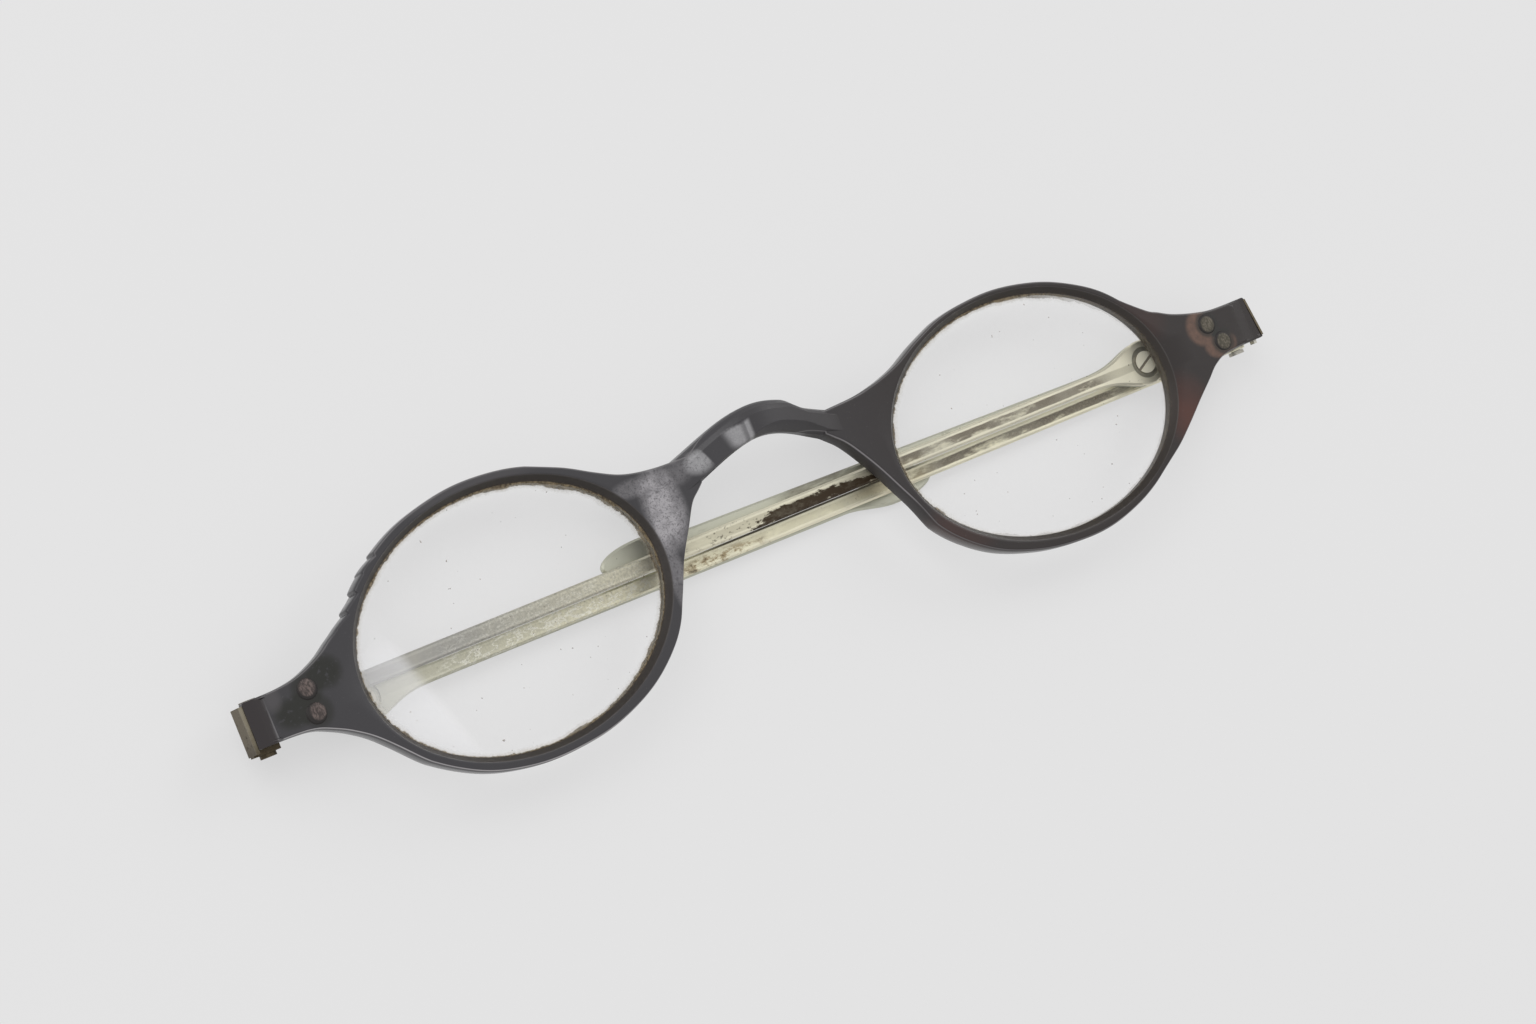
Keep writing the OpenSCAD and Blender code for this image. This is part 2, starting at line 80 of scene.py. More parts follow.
# Where each horn end stops; the right one runs a little past its joint
REACH = {LEFT: HALF_LEN, RIGHT: HALF_LEN + 0.75}
LEFT_TOP = BACK - FOLD_GAP
NEAR_TOP = LEFT_TOP - 2 * SIDE_T - LEAF_GAP - STACK_GAP
FAR_TOP = LEFT_TOP - SIDE_T - STACK_GAP
JOINT_X, JOINT_Z = HALF_LEN - JOINT_IN, BACK + 0.1
TURN_X = {LEFT: JOINT_X - LEFT_ROOM, RIGHT: JOINT_X - RIGHT_ROOM}
TILT = math.atan((FAR_TOP - NEAR_TOP) / (TURN_X[LEFT] + TURN_X[RIGHT]))
DROP = {LEFT: JOINT_Z - LEFT_TOP,
        RIGHT: (JOINT_Z - NEAR_TOP + LEFT_ROOM * math.tan(TILT)) * math.cos(TILT)}
# Height of the front's face over the table
LIFT = -(FAR_TOP - math.tan(TILT) * TIP_LEN - 2 * SIDE_T - LEAF_GAP)
# The back of each end is cut away from here outward, for the joint
NOTCH_X, NOTCH_Z = JOINT_X - 1.45 * KNUCKLE_R, JOINT_Z + KNUCKLE_R + KNUCKLE_GAP
SIDE_LEN = {s: JOINT_X + TURN_X[s] for s in SIDES}
# Height of the middle line of each end, and of each side's root
END_Y = {s: END_RISE + s * END_SKEW for s in SIDES}
ROOT_Y = {LEFT: END_Y[LEFT] + ROOT_RISE}
ROOT_Y[RIGHT] = ROOT_Y[LEFT] + 2 * JOINT_X * math.tan(LANE_TURN) - LANE_GAP / math.cos(LANE_TURN)
# Turn of each side about z: the left one runs to the right, the right one back to the left
YAW = {LEFT: LANE_TURN, RIGHT: math.pi + LANE_TURN}


# Curves and surfaces

def ease(t):
    """Three t squared less two t cubed, with t held between 0 and 1."""
    t = np.clip(t, 0.0, 1.0)
    return t * t * (3 - 2 * t)


def curve(points, steps):
    """Catmull-Rom curve through the points, steps to a span, without its last point.

    Between b and c, with a before and d after them, it is half of 2b + (c - a)t
    + (2a - 5b + 4c - d)t squared + (3b - a - 3c + d)t cubed, for t from 0 to 1.
    """
    p = np.asarray(points, float)
    padded = np.vstack([p[:1], p, p[-1:]])
    a, b, c, d = (padded[k:k + len(p) - 1, None] for k in range(4))
    t = (np.arange(steps) / steps)[None, :, None]
    spans = 0.5 * (2 * b + (c - a) * t + (2 * a - 5 * b + 4 * c - d) * t ** 2
                   + (3 * b - a - 3 * c + d) * t ** 3)
    return spans.reshape(-1, p.shape[1])


def spread(points, count):
    """The polyline's places at count equal steps of its running length, by linear interpolation."""
    p = np.asarray(points, float)
    run = np.concatenate([[0], np.cumsum(np.linalg.norm(np.diff(p, axis=0), axis=1))])
    at = np.linspace(0, run[-1], count)
    return np.column_stack([np.interp(at, run, axis) for axis in p.T])


def normals(p):
    """Outward unit normals of a closed anticlockwise outline.

    The tangent at a point is the next point less the one before, at unit length, and the
    normal is that tangent turned a quarter to the right.
    """
    t = np.roll(p, -1, 0) - np.roll(p, 1, 0)
    t /= np.linalg.norm(t, axis=1)[:, None]
    return np.column_stack([t[:, 1], -t[:, 0]])


def at_heights(flat, z):
    """Rings of flat points with each ring's height z added to all of its points."""
    return np.dstack([flat, np.broadcast_to(z[:, None], flat.shape[:2])])


def section_rings(corners):
    """Rings from a section whose corners are (x, y, z), each an array over the stations."""
    return np.stack([np.stack(np.broadcast_arrays(*corner), -1) for corner in corners], 1)


def revolve(profile, count=64):
    """A profile of (radius r, height z) about the z axis: r cos a, r sin a, z round the turn."""
    r, z = np.array(profile).T[..., None]
    a = np.linspace(0, 2 * math.pi, count, endpoint=False)
    return np.stack([r * np.cos(a), r * np.sin(a), z + 0 * a], -1)


def turned(points, angle):
    """Points turned about z: x cos less y sin, x sin plus y cos, z as it is."""
    c, k = math.cos(angle), math.sin(angle)
    x, y, z = np.moveaxis(points, -1, 0)
    return np.stack([x * c - y * k, x * k + y * c, z], -1)


def ring_faces(rows, cols, closed):
    """Quads between neighbouring rings, with the last joined to the first or both capped."""
    row = np.arange(rows if closed else rows - 1)
    a, b = np.meshgrid(row, np.arange(cols), indexing="ij")
    a2, b2 = (a + 1) % rows, (b + 1) % cols
    quads = np.stack([a * cols + b, a * cols + b2, a2 * cols + b2, a2 * cols + b], -1)
    faces = quads.reshape(-1, 4).tolist()
    if not closed:
        last = (rows - 1) * cols
        faces += [list(range(cols - 1, -1, -1)), list(range(last, last + cols))]
    return faces


def face_values(mesh, name, width):
    """One value of every face of a mesh, as an array."""
    values = np.empty(len(mesh.polygons) * width, np.float32)
    mesh.polygons.foreach_get(name, values)
    return values.reshape(-1, width)


def solid(name, rings, body, mat, closed=False, sharp=30.0):
    """One closed piece from rings of equal length, riding on a body of the frame.

    Its faces are turned outwards where area times normal times centre, summed over the
    faces, which is three times the volume, comes out below zero.
    """
    mesh = bpy.data.meshes.new(name)
    verts = (rings.reshape(-1, 3) + [0, 0, LIFT]) * MM
    mesh.from_pydata(verts.tolist(), [], ring_faces(*rings.shape[:2], closed))
    mesh.validate()
    mesh.update()
    slices = face_values(mesh, "normal", 3) * face_values(mesh, "center", 3)
    if (face_values(mesh, "area", 1) * slices).sum() < 0:
        mesh.flip_normals()
    mesh.shade_smooth()
    mesh.set_sharp_from_angle(angle=math.radians(sharp))
    obj = bpy.data.objects.new(name, mesh)
    bpy.context.scene.collection.objects.link(obj)
    mesh.materials.append(mat)
    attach(obj, body)
    return obj


# Shader building

class Sock:
    """A shader value; arithmetic on it adds Math nodes."""

    def __init__(self, home, out):
        self.home, self.out = home, out

    def compute(self, kind, a, b, clamp=False):
        """A Math node of two numbers or values."""
        settings = {"operation": kind, "use_clamp": clamp}
        node = self.home.node("ShaderNodeMath", settings, {0: a, 1: b})
        return Sock(self.home, node.outputs[0])

    def __add__(self, other):
        return self.compute("ADD", self, other)

    __radd__ = __add__

    def __mul__(self, other):
        return self.compute("MULTIPLY", self, other)

    __rmul__ = __mul__

    def __sub__(self, other):
        return self.compute("SUBTRACT", self, other)

    def __rsub__(self, other):
        return self.compute("SUBTRACT", other, self)

    def __pow__(self, other):
        return self.compute("POWER", self, other)

    def clamp(self):
        """The value held between 0 and 1."""
        return self.compute("ADD", self, 0.0, clamp=True)

    def most(self, other):
        """The larger of two values."""
        return self.compute("MAXIMUM", self, other)

    def step(self, low, high):
        """Eases from 0 at low to 1 at high, as three t squared less two t cubed."""
        node = self.home.node("ShaderNodeMapRange", {"interpolation_type": "SMOOTHSTEP"},
                              {"Value": self, "From Min": low, "From Max": high})
        return Sock(self.home, node.outputs["Result"])


def rgba(colour):
    """A colour of three numbers with a full alpha; a link stays as it is."""
    return (*colour, 1.0) if isinstance(colour, tuple) else colour


class Nodes:
    """The node tree of a material or a world, which ends in one surface."""

    def __init__(self, owner, end):
        owner.use_nodes = True
        self.owner, self.tree = owner, owner.node_tree
        self.tree.nodes.clear()
        self.end = self.node(end, {}, {})

    def node(self, kind, settings, sockets):
        """One node with its settings and sockets; a socket's value may be a link."""
        node = self.tree.nodes.new(kind)
        for key, value in settings.items():
            setattr(node, key, value)
        for key, value in sockets.items():
            value = value.out if isinstance(value, Sock) else value
            if isinstance(value, bpy.types.NodeSocket):
                self.tree.links.new(value, node.inputs[key])
            else:
                node.inputs[key].default_value = value
        return node

    def blend(self, factor, a, b):
        """Shader a where factor is 0 and b where it is 1."""
        return self.node("ShaderNodeMixShader", {}, {0: factor, 1: a, 2: b}).outputs[0]

    def plain(self, kind, colour, **sockets):
        """A shader of one even colour."""
        return self.node(kind, {}, {"Color": rgba(colour), **sockets}).outputs[0]

    def principled(self, colour, **sockets):
        """The principled shader; an underscore in a socket's name stands for a space."""
        named = {key.replace("_", " "): value for key, value in sockets.items()}
        named["Base Color"] = rgba(colour)
        return self.node("ShaderNodeBsdfPrincipled", {}, named).outputs[0]

    def surface(self, shader):
        """Sends a shader to the surface and gives back the material or world."""
        self.tree.links.new(shader, self.end.inputs["Surface"])
        return self.owner


class Finish(Nodes):
    """A material whose maps are expressions of the place on the object, in millimetres."""

    def __init__(self, name):
        super().__init__(bpy.data.materials.new(name), "ShaderNodeOutputMaterial")
        self.place = self.node("ShaderNodeTexCoord", {}, {}).outputs["Object"]
        split = self.node("ShaderNodeSeparateXYZ", {}, {"Vector": self.place})
        self.x, self.y, over_table = (Sock(self, out) * (1 / MM) for out in split.outputs)
        self.z = over_table - LIFT

    def noise(self, scale, detail, rough, stretch=(1, 1, 1), seed=0.0):
        """Noise of the place on the object, scale in cells to a millimetre."""
        moved = self.node("ShaderNodeMapping", {}, {
            "Vector": self.place, "Location": (seed, seed * 0.7, seed * 0.3),
            "Scale": tuple(scale / MM * k for k in stretch)})
        node = self.node("ShaderNodeTexNoise", {}, {
            "Vector": moved.outputs[0], "Scale": 1.0, "Detail": detail, "Roughness": rough})
        return Sock(self, node.outputs[0])

    def near(self, x, y, wide, high, soft=1.0):
        """1 within an oval about (x, y), easing to 0 about its edge.

        One less a step of the squared distance, in those half sizes, from 1 less soft to 1
        and half of soft.
        """
        dx, dy = (self.x - x) * (1.0 / wide), (self.y - y) * (1.0 / high)
        return 1.0 - (dx * dx + dy * dy).step(1.0 - soft, 1.0 + soft * 0.5)

    def spots(self, ovals):
        """Soft ovals added up, each x, y, half width, half height, softness and weight."""
        total = 0.0
        for *oval, weight in ovals:
            total = self.near(*oval) * weight + total
        return total

    def on_lens(self, s, inset):
        """Place along and across a lens, in half sizes of its opening drawn in by inset."""
        wide, high, shift_x, shift_y, droop = EYE[s]
        dx, dy, tilt = self.x - s * (EYE_X + shift_x), self.y - shift_y, s * droop
        along = (dx * math.cos(tilt) - dy * math.sin(tilt)) * (1.0 / (wide - inset))
        across = (dx * math.sin(tilt) + dy * math.cos(tilt)) * (1.0 / (high - inset))
        return along, across

    def mix(self, factor, a, b):
        """Colour a where factor is 0 and b where it is 1."""
        sockets = {0: factor, 6: rgba(a), 7: rgba(b)}
        return self.node("ShaderNodeMix", {"data_type": "RGBA"}, sockets).outputs[2]

    def tint(self, colour, layers):
        """A colour under layers of (factor, colour), each laid over the ones before it."""
        for factor, over in layers:
            colour = self.mix(factor, colour, over)
        return colour

    def bump(self, height, strength, depth):
        """A normal tilted by the slope of a height whose full range is depth millimetres."""
        return self.node("ShaderNodeBump", {}, {
            "Height": height, "Strength": strength, "Distance": depth * MM}).outputs[0]


# Finish of the horn

# Soft ovals on the horn: x, y, half width, half height, softness and weight
WARM_PLACES = [(46.5, -5.5, 3.0, 4.0, 1.0, 1.0), (17.5, -7.5, 4.0, 3.0, 1.0, 0.5),
               (45.0, 5.0, 3.0, 3.0, 1.0, 0.25)]
WORN_PLACES = [(-11.8, 4.4, 2.1, 4.0, 1.0, 1.0), (-14.2, 7.0, 2.4, 0.9, 1.0, 0.4),
               (-13.2, -1.5, 1.0, 5.0, 1.0, 0.5), (-9.3, 6.9, 1.8, 1.2, 1.0, 0.3)]
CHIPPED_PLACES = [(-45.75, 5.85, 0.32, 0.32, 0.6, 1.0), (-44.3, 7.35, 0.34, 0.3, 0.6, 1.0),
                  (-40.95, 9.85, 0.36, 0.3, 0.6, 1.0), (-42.6, 8.62, 0.25, 0.2, 0.6, 0.6)]
SMUDGES = [(-48.9, 1.5, 1.7, 1.6, 0.8, 1.0), (-53.0, -0.9, 2.1, 1.5, 0.8, 1.0)]
SCUFFS = [(-54.5, 0.9, 0.9, 1.3, 1.0, 0.5), (-32.0, 12.6, 13.0, 1.1, 1.0, 0.35)]
# Reach and softness of the dark ring round each rivet
RIVET_RING = {LEFT: (1.6, 1.6, 0.6), RIGHT: (1.4, 1.4, 0.4)}


def worn_web(f, cloud, grit, pores):
    """How far the left web is worn pale: soft ovals, broken up by clouds, grit and pores."""
    worn = f.spots(WORN_PLACES).clamp() * (cloud.step(0.22, 0.70) * 0.55 + 0.45)
    worn = worn * (1.0 - grit.step(0.50, 0.64) * 0.4) * (1.0 - pores * 0.55)
    return worn * (1.0 + f.near(-12.0, 3.0, 2.0, 3.0) * 0.35)


def bridge_reflections(f, cloud, grit, pores):
    """Painted reflections: the two pale patches where the bridge turns, an oval cut off by a slanting line
    and a band between two slanting lines, only on the face."""
    slant = f.x + 6.3 + (f.y - 8.1) * 0.42
    first = f.near(-6.9, 7.1, 1.5, 1.15) * (1.0 - slant.step(-0.12, 0.12)) * (1.0 - pores * 0.45)
    start = (f.x + 4.2 + (f.y - 8.96) * 0.3).step(-0.25, 0.9)
    stop = 1.0 - (f.x + 1.0).step(-0.35, 0.1)
    brow = 1.0 - (f.y - f.x * 0.13 + (cloud - 0.5) * 0.8).step(9.1, 9.6)
    fade = 1.0 - (f.x + 2.3).step(0.0, 0.5) * 0.55 + (f.x + 1.7).step(0.0, 0.2) * 0.5
    second = start * stop * brow * f.y.step(6.6, 7.5) * f.z.step(0.9, 1.3) * fade
    return (first * (0.45 + grit * 0.9) + second * (0.45 + grit * 0.75)).clamp()


def rivet_marks(f, fine):
    """The brown halo by the right rivets, and the dark rings and smudges round all of them."""
    halo = f.near(51.7, 1.9, 2.1, 2.0, 0.4).most(f.near(52.9, -0.3, 2.0, 1.35, 0.4))
    halo = halo * (1.0 - f.near(54.6, 2.7, 2.5, 2.5, 0.4)) * (0.25 + fine * 0.9).clamp()
    rings = f.spots([(*at, *RIVET_RING[s], 1.0) for s in SIDES for at in RIVET_AT[s]])
    return halo, (rings * 0.75 + f.spots(SMUDGES) * fine.step(0.30, 0.46)).clamp()


def outside_lenses(f):
    """1 on the face and 0 within either lens opening, by the distance in its half sizes."""
    outside = 1.0
    for s in SIDES:
        along, across = f.on_lens(s, 0.0)
        outside = ((along * along + across * across) ** 0.5).step(0.996, 1.004) * outside
    return outside


def edge_highlights(f, broad, bevel):
    """Painted highlights along the edges: a thin pale band just under the face, faded at the ends and by
    the chips.
    """
    band = f.z.step(-0.17, -0.07) * (1.0 - f.z.step(-0.035, -0.015)) * (0.35 + broad * 0.9)
    ends = (1.0 - f.x.step(55.6, 55.8)) * (0.25 + f.x.step(-54.9, -54.7) * 0.75)
    return band * ends * (1.0 - bevel * 0.75) * (1.0 - f.near(-44.6, 7.2, 4.2, 4.2, 0.4))


def horn():
    """Blackish horn: speckle, a pale worn web, polished walls, brown where light comes through, painted
    reflections on the bridge, painted highlights along the edges and painted shade on the left end's facet.
    """
    f = Finish("horn")
    fine = f.noise(2.2, 4.0, 0.6)
    grit = f.noise(6.0, 3.0, 0.7, seed=9.0)
    broad = f.noise(0.16, 3.0, 0.5, seed=3.0)
    cloud = f.noise(0.7, 4.0, 0.65, seed=27.0)
    pores = f.noise(3.4, 4.0, 0.75, seed=33.0).step(0.52, 0.62)
    speck = f.noise(5.5, 2.0, 0.5, seed=9.0).step(0.70, 0.78)
    warm = f.spots(WARM_PLACES).clamp() * (broad * 1.3).clamp() * 0.9
    worn = worn_web(f, cloud, grit, pores)
    halo, dark = rivet_marks(f, fine)
    # painted shade: the facet at the left end, darker where it slopes away from the light
    facet = (1.0 - f.x.step(-55.35, -55.2)) * f.z.step(-0.8, -0.6)
    outside = outside_lenses(f)
    bevel = 1.0 - outside
    seat_dirt = bevel * (1.0 - f.z.step(-0.66, -0.5)) * grit.step(0.48, 0.66) * 0.4
    edges = edge_highlights(f, broad, bevel)
    # the lower left, off the bevel, where the painted edge highlight is brightest
    low_left = (1.0 - f.x.step(-30.0, -20.0)) * (1.0 - f.y.step(-1.0, 1.0)) * (1.0 - bevel)
    colour = f.tint(f.mix(f.x.step(-6.0, 22.0), (0.034, 0.032, 0.036), (0.0165, 0.0112, 0.0102)), [
        (warm, (0.085, 0.022, 0.012)),
        ((worn * 0.96).clamp(), (0.36, 0.345, 0.36)),
        # painted reflections: the two pale patches on the bridge
        (bridge_reflections(f, cloud, grit, pores) * 0.95, (0.34, 0.335, 0.345)),
        (speck * 0.12, (0.30, 0.28, 0.27)),
        (halo, (0.15, 0.082, 0.056)),
        (dark, (0.009, 0.009, 0.006)),
        (f.spots(SCUFFS), (0.085, 0.078, 0.082)),
        # painted shade on the left end's facet
        (facet * 0.75, (0.018, 0.012, 0.012)),
        (bevel * 0.9, (0.018, 0.012, 0.008)),
        (seat_dirt, (0.12, 0.085, 0.05)),
        # painted highlights along the edges, brighter by the nose on the right and along the lower left
        (edges * f.near(10.8, 1.5, 4.5, 7.0, 0.5), (0.36, 0.34, 0.35)),
        ((edges * 0.8).clamp(), (0.16, 0.15, 0.155)),
        ((edges * low_left).clamp(), (0.50, 0.48, 0.49)),
        (f.spots(CHIPPED_PLACES).clamp() * 0.8, (0.55, 0.53, 0.50))])
    wall = (1.0 - f.z.step(-0.35, -0.15)) * outside * (1.0 - f.near(10.0, 0.0, 6.5, 10.0, 0.4) * 2.2)
    rough = 0.34 + broad * 0.08 + worn * 0.15 - wall * 0.16
    normal = f.bump(fine * 0.6 + f.noise(0.5, 2.0, 0.5, seed=5.0) * 1.5, 0.25, 0.04)
    return f.surface(f.principled(colour, Roughness=rough, IOR=1.54, Normal=normal))


# Finishes of the metal

def metal(name, tone, dark, seed, tarnish, rough, slot_z=None, worn_and_highlit_top=False, shine=0.85):
    """Worn pale metal with tarnish specks, streaked along x.

    Below the height slot_z on the right it is darkened, as in the slot of a turn pin.
    With its end-strip flag set it is the strip along an end: rubbed pale on top, with a painted highlight
    there, and dark at its lower part.
    """
    f = Finish(name)
    streak = f.noise(0.9, 4.0, 0.65, stretch=(0.35, 1.6, 1.0), seed=seed)
    fine = f.noise(3.0, 3.0, 0.6, seed=seed + 2.0)
    stain = streak.step(0.56, 0.70) * fine.step(0.35, 0.62) * tarnish
    stain = stain + f.near(6.0, 1.6, 5.0, 1.0) * streak.step(0.3, 0.6) * (tarnish * 1.8)
    if slot_z is not None:
        stain = stain + (1.0 - f.z.step(slot_z - 0.03, slot_z + 0.02)) * f.x.step(-1.0, 1.0) * 0.85
    stain = stain.clamp()
    layers = [(stain, dark)]
    if worn_and_highlit_top:
        # the top of the strip, rubbed pale with a painted highlight; then its lower part darker
        top = f.z.step(-0.85, -0.62) * (1.0 - f.x.step(-57.0, -56.9))
        layers += [(top * (0.05 + streak * 0.6 + f.y.step(-2.4, 1.6) * 0.35), (0.34, 0.31, 0.24)),
                   ((1.0 - f.y.step(-3.2, -1.6)) * (0.3 + fine * 0.6), (0.045, 0.032, 0.016))]
    normal = f.bump(streak + fine * 0.5, 0.25, 0.03)
    return f.surface(f.principled(f.tint(tone, layers), Metallic=shine - stain * (shine * 0.6),
                                  Roughness=rough + stain * 0.30 + fine * 0.08, Normal=normal))


def left_bar_layers(f, grain, blotch):
    """Marks of the left bar: a dark crumbly stain past the bridge, and a dark ring by the turn pin, tarnish
    with painted shade in its recess.
    """
    crumbs = f.noise(1.7, 5.0, 0.75, stretch=(0.7, 1.2, 1.0), seed=41.0)
    stain = (f.near(5.2, -0.25, 9.0, 0.95, 0.9) + (grain + crumbs - 1.0) * 1.9).step(0.36, 0.62)
    stain = stain * f.near(6.2, -0.25, 11.5, 1.3, 0.3)
    stain = (stain + f.near(-6.5, 0.1, 4.5, 0.9) * crumbs.step(0.55, 0.63) * 0.7).clamp()
    # tarnish and painted shade: the turn pin's recess darkened
    recess_shade_and_tarnish = f.near(45.59, 0.84, 1.62, 1.62, 0.08)
    return stain * (0.62 + blotch * 0.35 + crumbs * 0.35), [(recess_shade_and_tarnish * 0.7, (0.16, 0.145, 0.11))]


def right_bar_layers(f, across):
    """Marks of the right bar: rust and crumbs by the bridge, and painted shade along its lower edge, by the
    gap to the other bar.
    """
    crumbs = f.noise(1.5, 5.0, 0.75, stretch=(0.6, 1.2, 1.0), seed=43.0)
    rust = f.near(-6.5, -1.75, 5.5, 0.75) * crumbs.step(0.44, 0.56)
    spots = f.spots([(-8.0, -1.8, 3.0, 0.6, 1.0, 0.8), (-2.0, -2.0, 3.0, 0.6, 1.0, 0.6)])
    # painted shade: the edge by the gap between the bars darkened
    edge = (1.0 - across.step(-0.64, -0.54)) * f.near(5.0, 0.0, 13.0, 9.0, 0.4) * 0.8
    return (spots * crumbs.step(0.55, 0.62) + edge).clamp(), [(rust * 0.8, (0.30, 0.215, 0.11))]


# Tones of each bar at its left and right, how strongly the painted glints along its wrinkles show, and how
# strongly its dust shows
BAR_TONES = {LEFT: ((0.42, 0.415, 0.40), (0.70, 0.665, 0.51)),
             RIGHT: ((0.60, 0.59, 0.47), (0.85, 0.81, 0.60))}
WRINKLE_GLINTS = {LEFT: 0.25, RIGHT: 0.6}
DUST = {LEFT: 0.32, RIGHT: 0.2}


def bar_metal(s):
    """A side's silver: pale rubbed bevels, a flat tarnished in lengthwise mottles, brown stains, painted
    glints under the left lens, and painted shade by the turn pin's recess and by the gap between the bars.
    """
    f = Finish("silver_" + NAME[s])
    across = (f.y - ROOT_Y[s]) * math.cos(YAW[s]) - (f.x - s * JOINT_X) * math.sin(YAW[s])
    off = (across * across) ** 0.5
    grain = f.noise(1.0, 5.0, 0.7, stretch=(0.22, 1.5, 1.0), seed=2.0 + 4 * s)
    blotch = f.noise(0.42, 4.0, 0.7, stretch=(0.45, 1.3, 1.0), seed=7.0 + 3 * s)
    fine = f.noise(4.0, 4.0, 0.7, seed=15.0 + s)
    flat = 1.0 - (off + (grain - 0.5) * 0.26).step(0.32, 0.46)
    # the flat is least dull at the boss, and dullest to the right of the bridge
    if s < 0:
        boss = f.x.step(38.0, 42.5)
        dullness = 0.25 + f.x.step(8.0, 16.0)
        stain, marks = left_bar_layers(f, grain, blotch)
    else:
        boss = 1.0 - f.x.step(-43.0, -38.0)
        dullness = 0.22 + f.x.step(-30.0, -14.0) * 0.02 + f.x.step(10.0, 20.0) * 0.85
        stain, marks = right_bar_layers(f, across)
    mottle = blotch.step(0.30, 0.52) * (0.55 + fine * 0.7)
    dull = (flat * (1.0 - boss * 0.8) * mottle * dullness).clamp()
    # scratches and wrinkles on the stretch under the left lens, the wrinkles lit by painted glints
    under_lens = f.x.step(-40.0, -34.0) * (1.0 - f.x.step(-16.0, -10.0))
    wave = f.noise(0.9, 4.0, 0.65, stretch=(0.6, 1.3, 1.0), seed=51.0 + s) - 0.5
    wrinkle_glint = 1.0 - (wave * wave).step(0.0, 0.0009)
    pits = fine.step(0.60, 0.68) * grain.step(0.5, 0.6)
    tan = f.near(14.0, -0.9, 5.0, 1.4) * blotch.step(0.3, 0.6)
    colour = f.tint(f.mix(f.x.step(-40.0, -12.0), *BAR_TONES[s]), [
        ((1.0 - flat) * (0.10 + f.x.step(-18.0, 4.0) * 0.5), (0.92, 0.88, 0.71)),
        (dull, (0.20, 0.175, 0.13)),
        (f.noise(0.25, 3.0, 0.6, seed=22.0).step(0.4, 0.7) * 0.3, (0.58, 0.56, 0.46)),
        # painted glints along the wrinkles
        (wrinkle_glint * under_lens * WRINKLE_GLINTS[s], (0.93, 0.92, 0.84)),
        (fine.step(0.42, 0.60) * under_lens * DUST[s], (0.24, 0.235, 0.20)),
        ((pits * 0.55).clamp(), (0.13, 0.10, 0.06)),
        *marks,
        (tan * 0.45, (0.42, 0.33, 0.16)),
        # stains, and on the right bar also the painted shade by the gap between the bars
        (stain, (0.036, 0.021, 0.007))])
    dirt_and_gap_shade = (dull + stain).clamp()
    normal = f.bump(grain + fine * 0.5, 0.3, 0.03)
    return f.surface(f.principled(colour, Metallic=0.80 - dirt_and_gap_shade * 0.45,
                                  Roughness=0.36 + fine * 0.10 + dirt_and_gap_shade * 0.22, Normal=normal))


def rivet_metal(s, tone, pale):
    """A worn rivet head: mottled middle inside a dark ring."""
    f = Finish("rivet_metal_" + NAME[s])
    fine = f.noise(3.2, 4.0, 0.7, stretch=(1.6, 0.7, 1.0), seed=21.0 + s)
    middle = f.spots([(*at, 0.78, 0.82, 0.45, 1.0) for at in RIVET_AT[s]])
    head = f.mix(fine.step(0.45, 0.62), tone, pale)
    colour = f.mix((middle * 1.2).clamp(), (0.022, 0.019, 0.018), head)
    return f.surface(f.principled(colour, Metallic=0.35, Roughness=0.45 + fine * 0.15,
                                  Normal=f.bump(fine, 0.6, 0.06)))


# Finish of the lenses

def glass(s):
    """Thin clear glass: lets the light by, with a faint sheen, dust, a brown crust at its edge, and on the
    left lens a painted glare.

    The crust starts where the distance from the lens's middle, in its half sizes, plus a
    ragged noise passes about 0.99. The dirt is thicker along the top edge.
    """
    f = Finish("glass_" + NAME[s])
    along, across = f.on_lens(s, BEVEL_W)
    out = (along * along + across * across) ** 0.5
    ragged = (f.noise(2.2, 5.0, 0.8, seed=4.0) - 0.5) * 0.040 + across.step(0.2, 1.0) * 0.010
    ragged = ragged + f.noise(0.35, 2.0, 0.5, seed=6.0).step(0.45, 0.7) * 0.014
    much = 1.0 if s < 0 else 1.0 - (f.x - f.y).step(18.0, 34.0) * 0.8
    crust = (out + ragged).step(0.990, 0.998) * much
    haze = (out + ragged * 1.3).step(0.962, 1.0) * 0.28 * much
    dust = f.noise(2.6, 1.0, 0.4, seed=11.0).step(0.80, 0.82)
    tone = f.noise(3.5, 4.0, 0.7, seed=14.0).step(0.35, 0.65)
    clear = f.plain("ShaderNodeBsdfTransparent", (1.0, 1.0, 1.0))
    sheen = f.plain("ShaderNodeBsdfGlossy", (1.0, 1.0, 1.0), Roughness=0.03)
    film = f.plain("ShaderNodeBsdfDiffuse", (0.55, 0.50, 0.40))
    shader = f.blend(haze, f.blend(0.012, clear, sheen), film)
    if s < 0:
        # painted glare: a pale reflection laid over the outer end of this lens
        glare = (1.0 - (f.x + f.y * 0.36).step(-41.8, -40.4)) * (1.0 - f.y.step(0.4, 3.0) * 0.75)
        shader = f.blend(glare * 0.24, shader, f.plain("ShaderNodeBsdfDiffuse", (0.95, 0.95, 0.97)))
    dirt = f.principled(f.mix(tone, (0.045, 0.032, 0.018), (0.26, 0.20, 0.12)), Roughness=0.9)
    return f.surface(f.blend((crust * 0.9 + dust * 0.6).clamp(), shader, dirt))


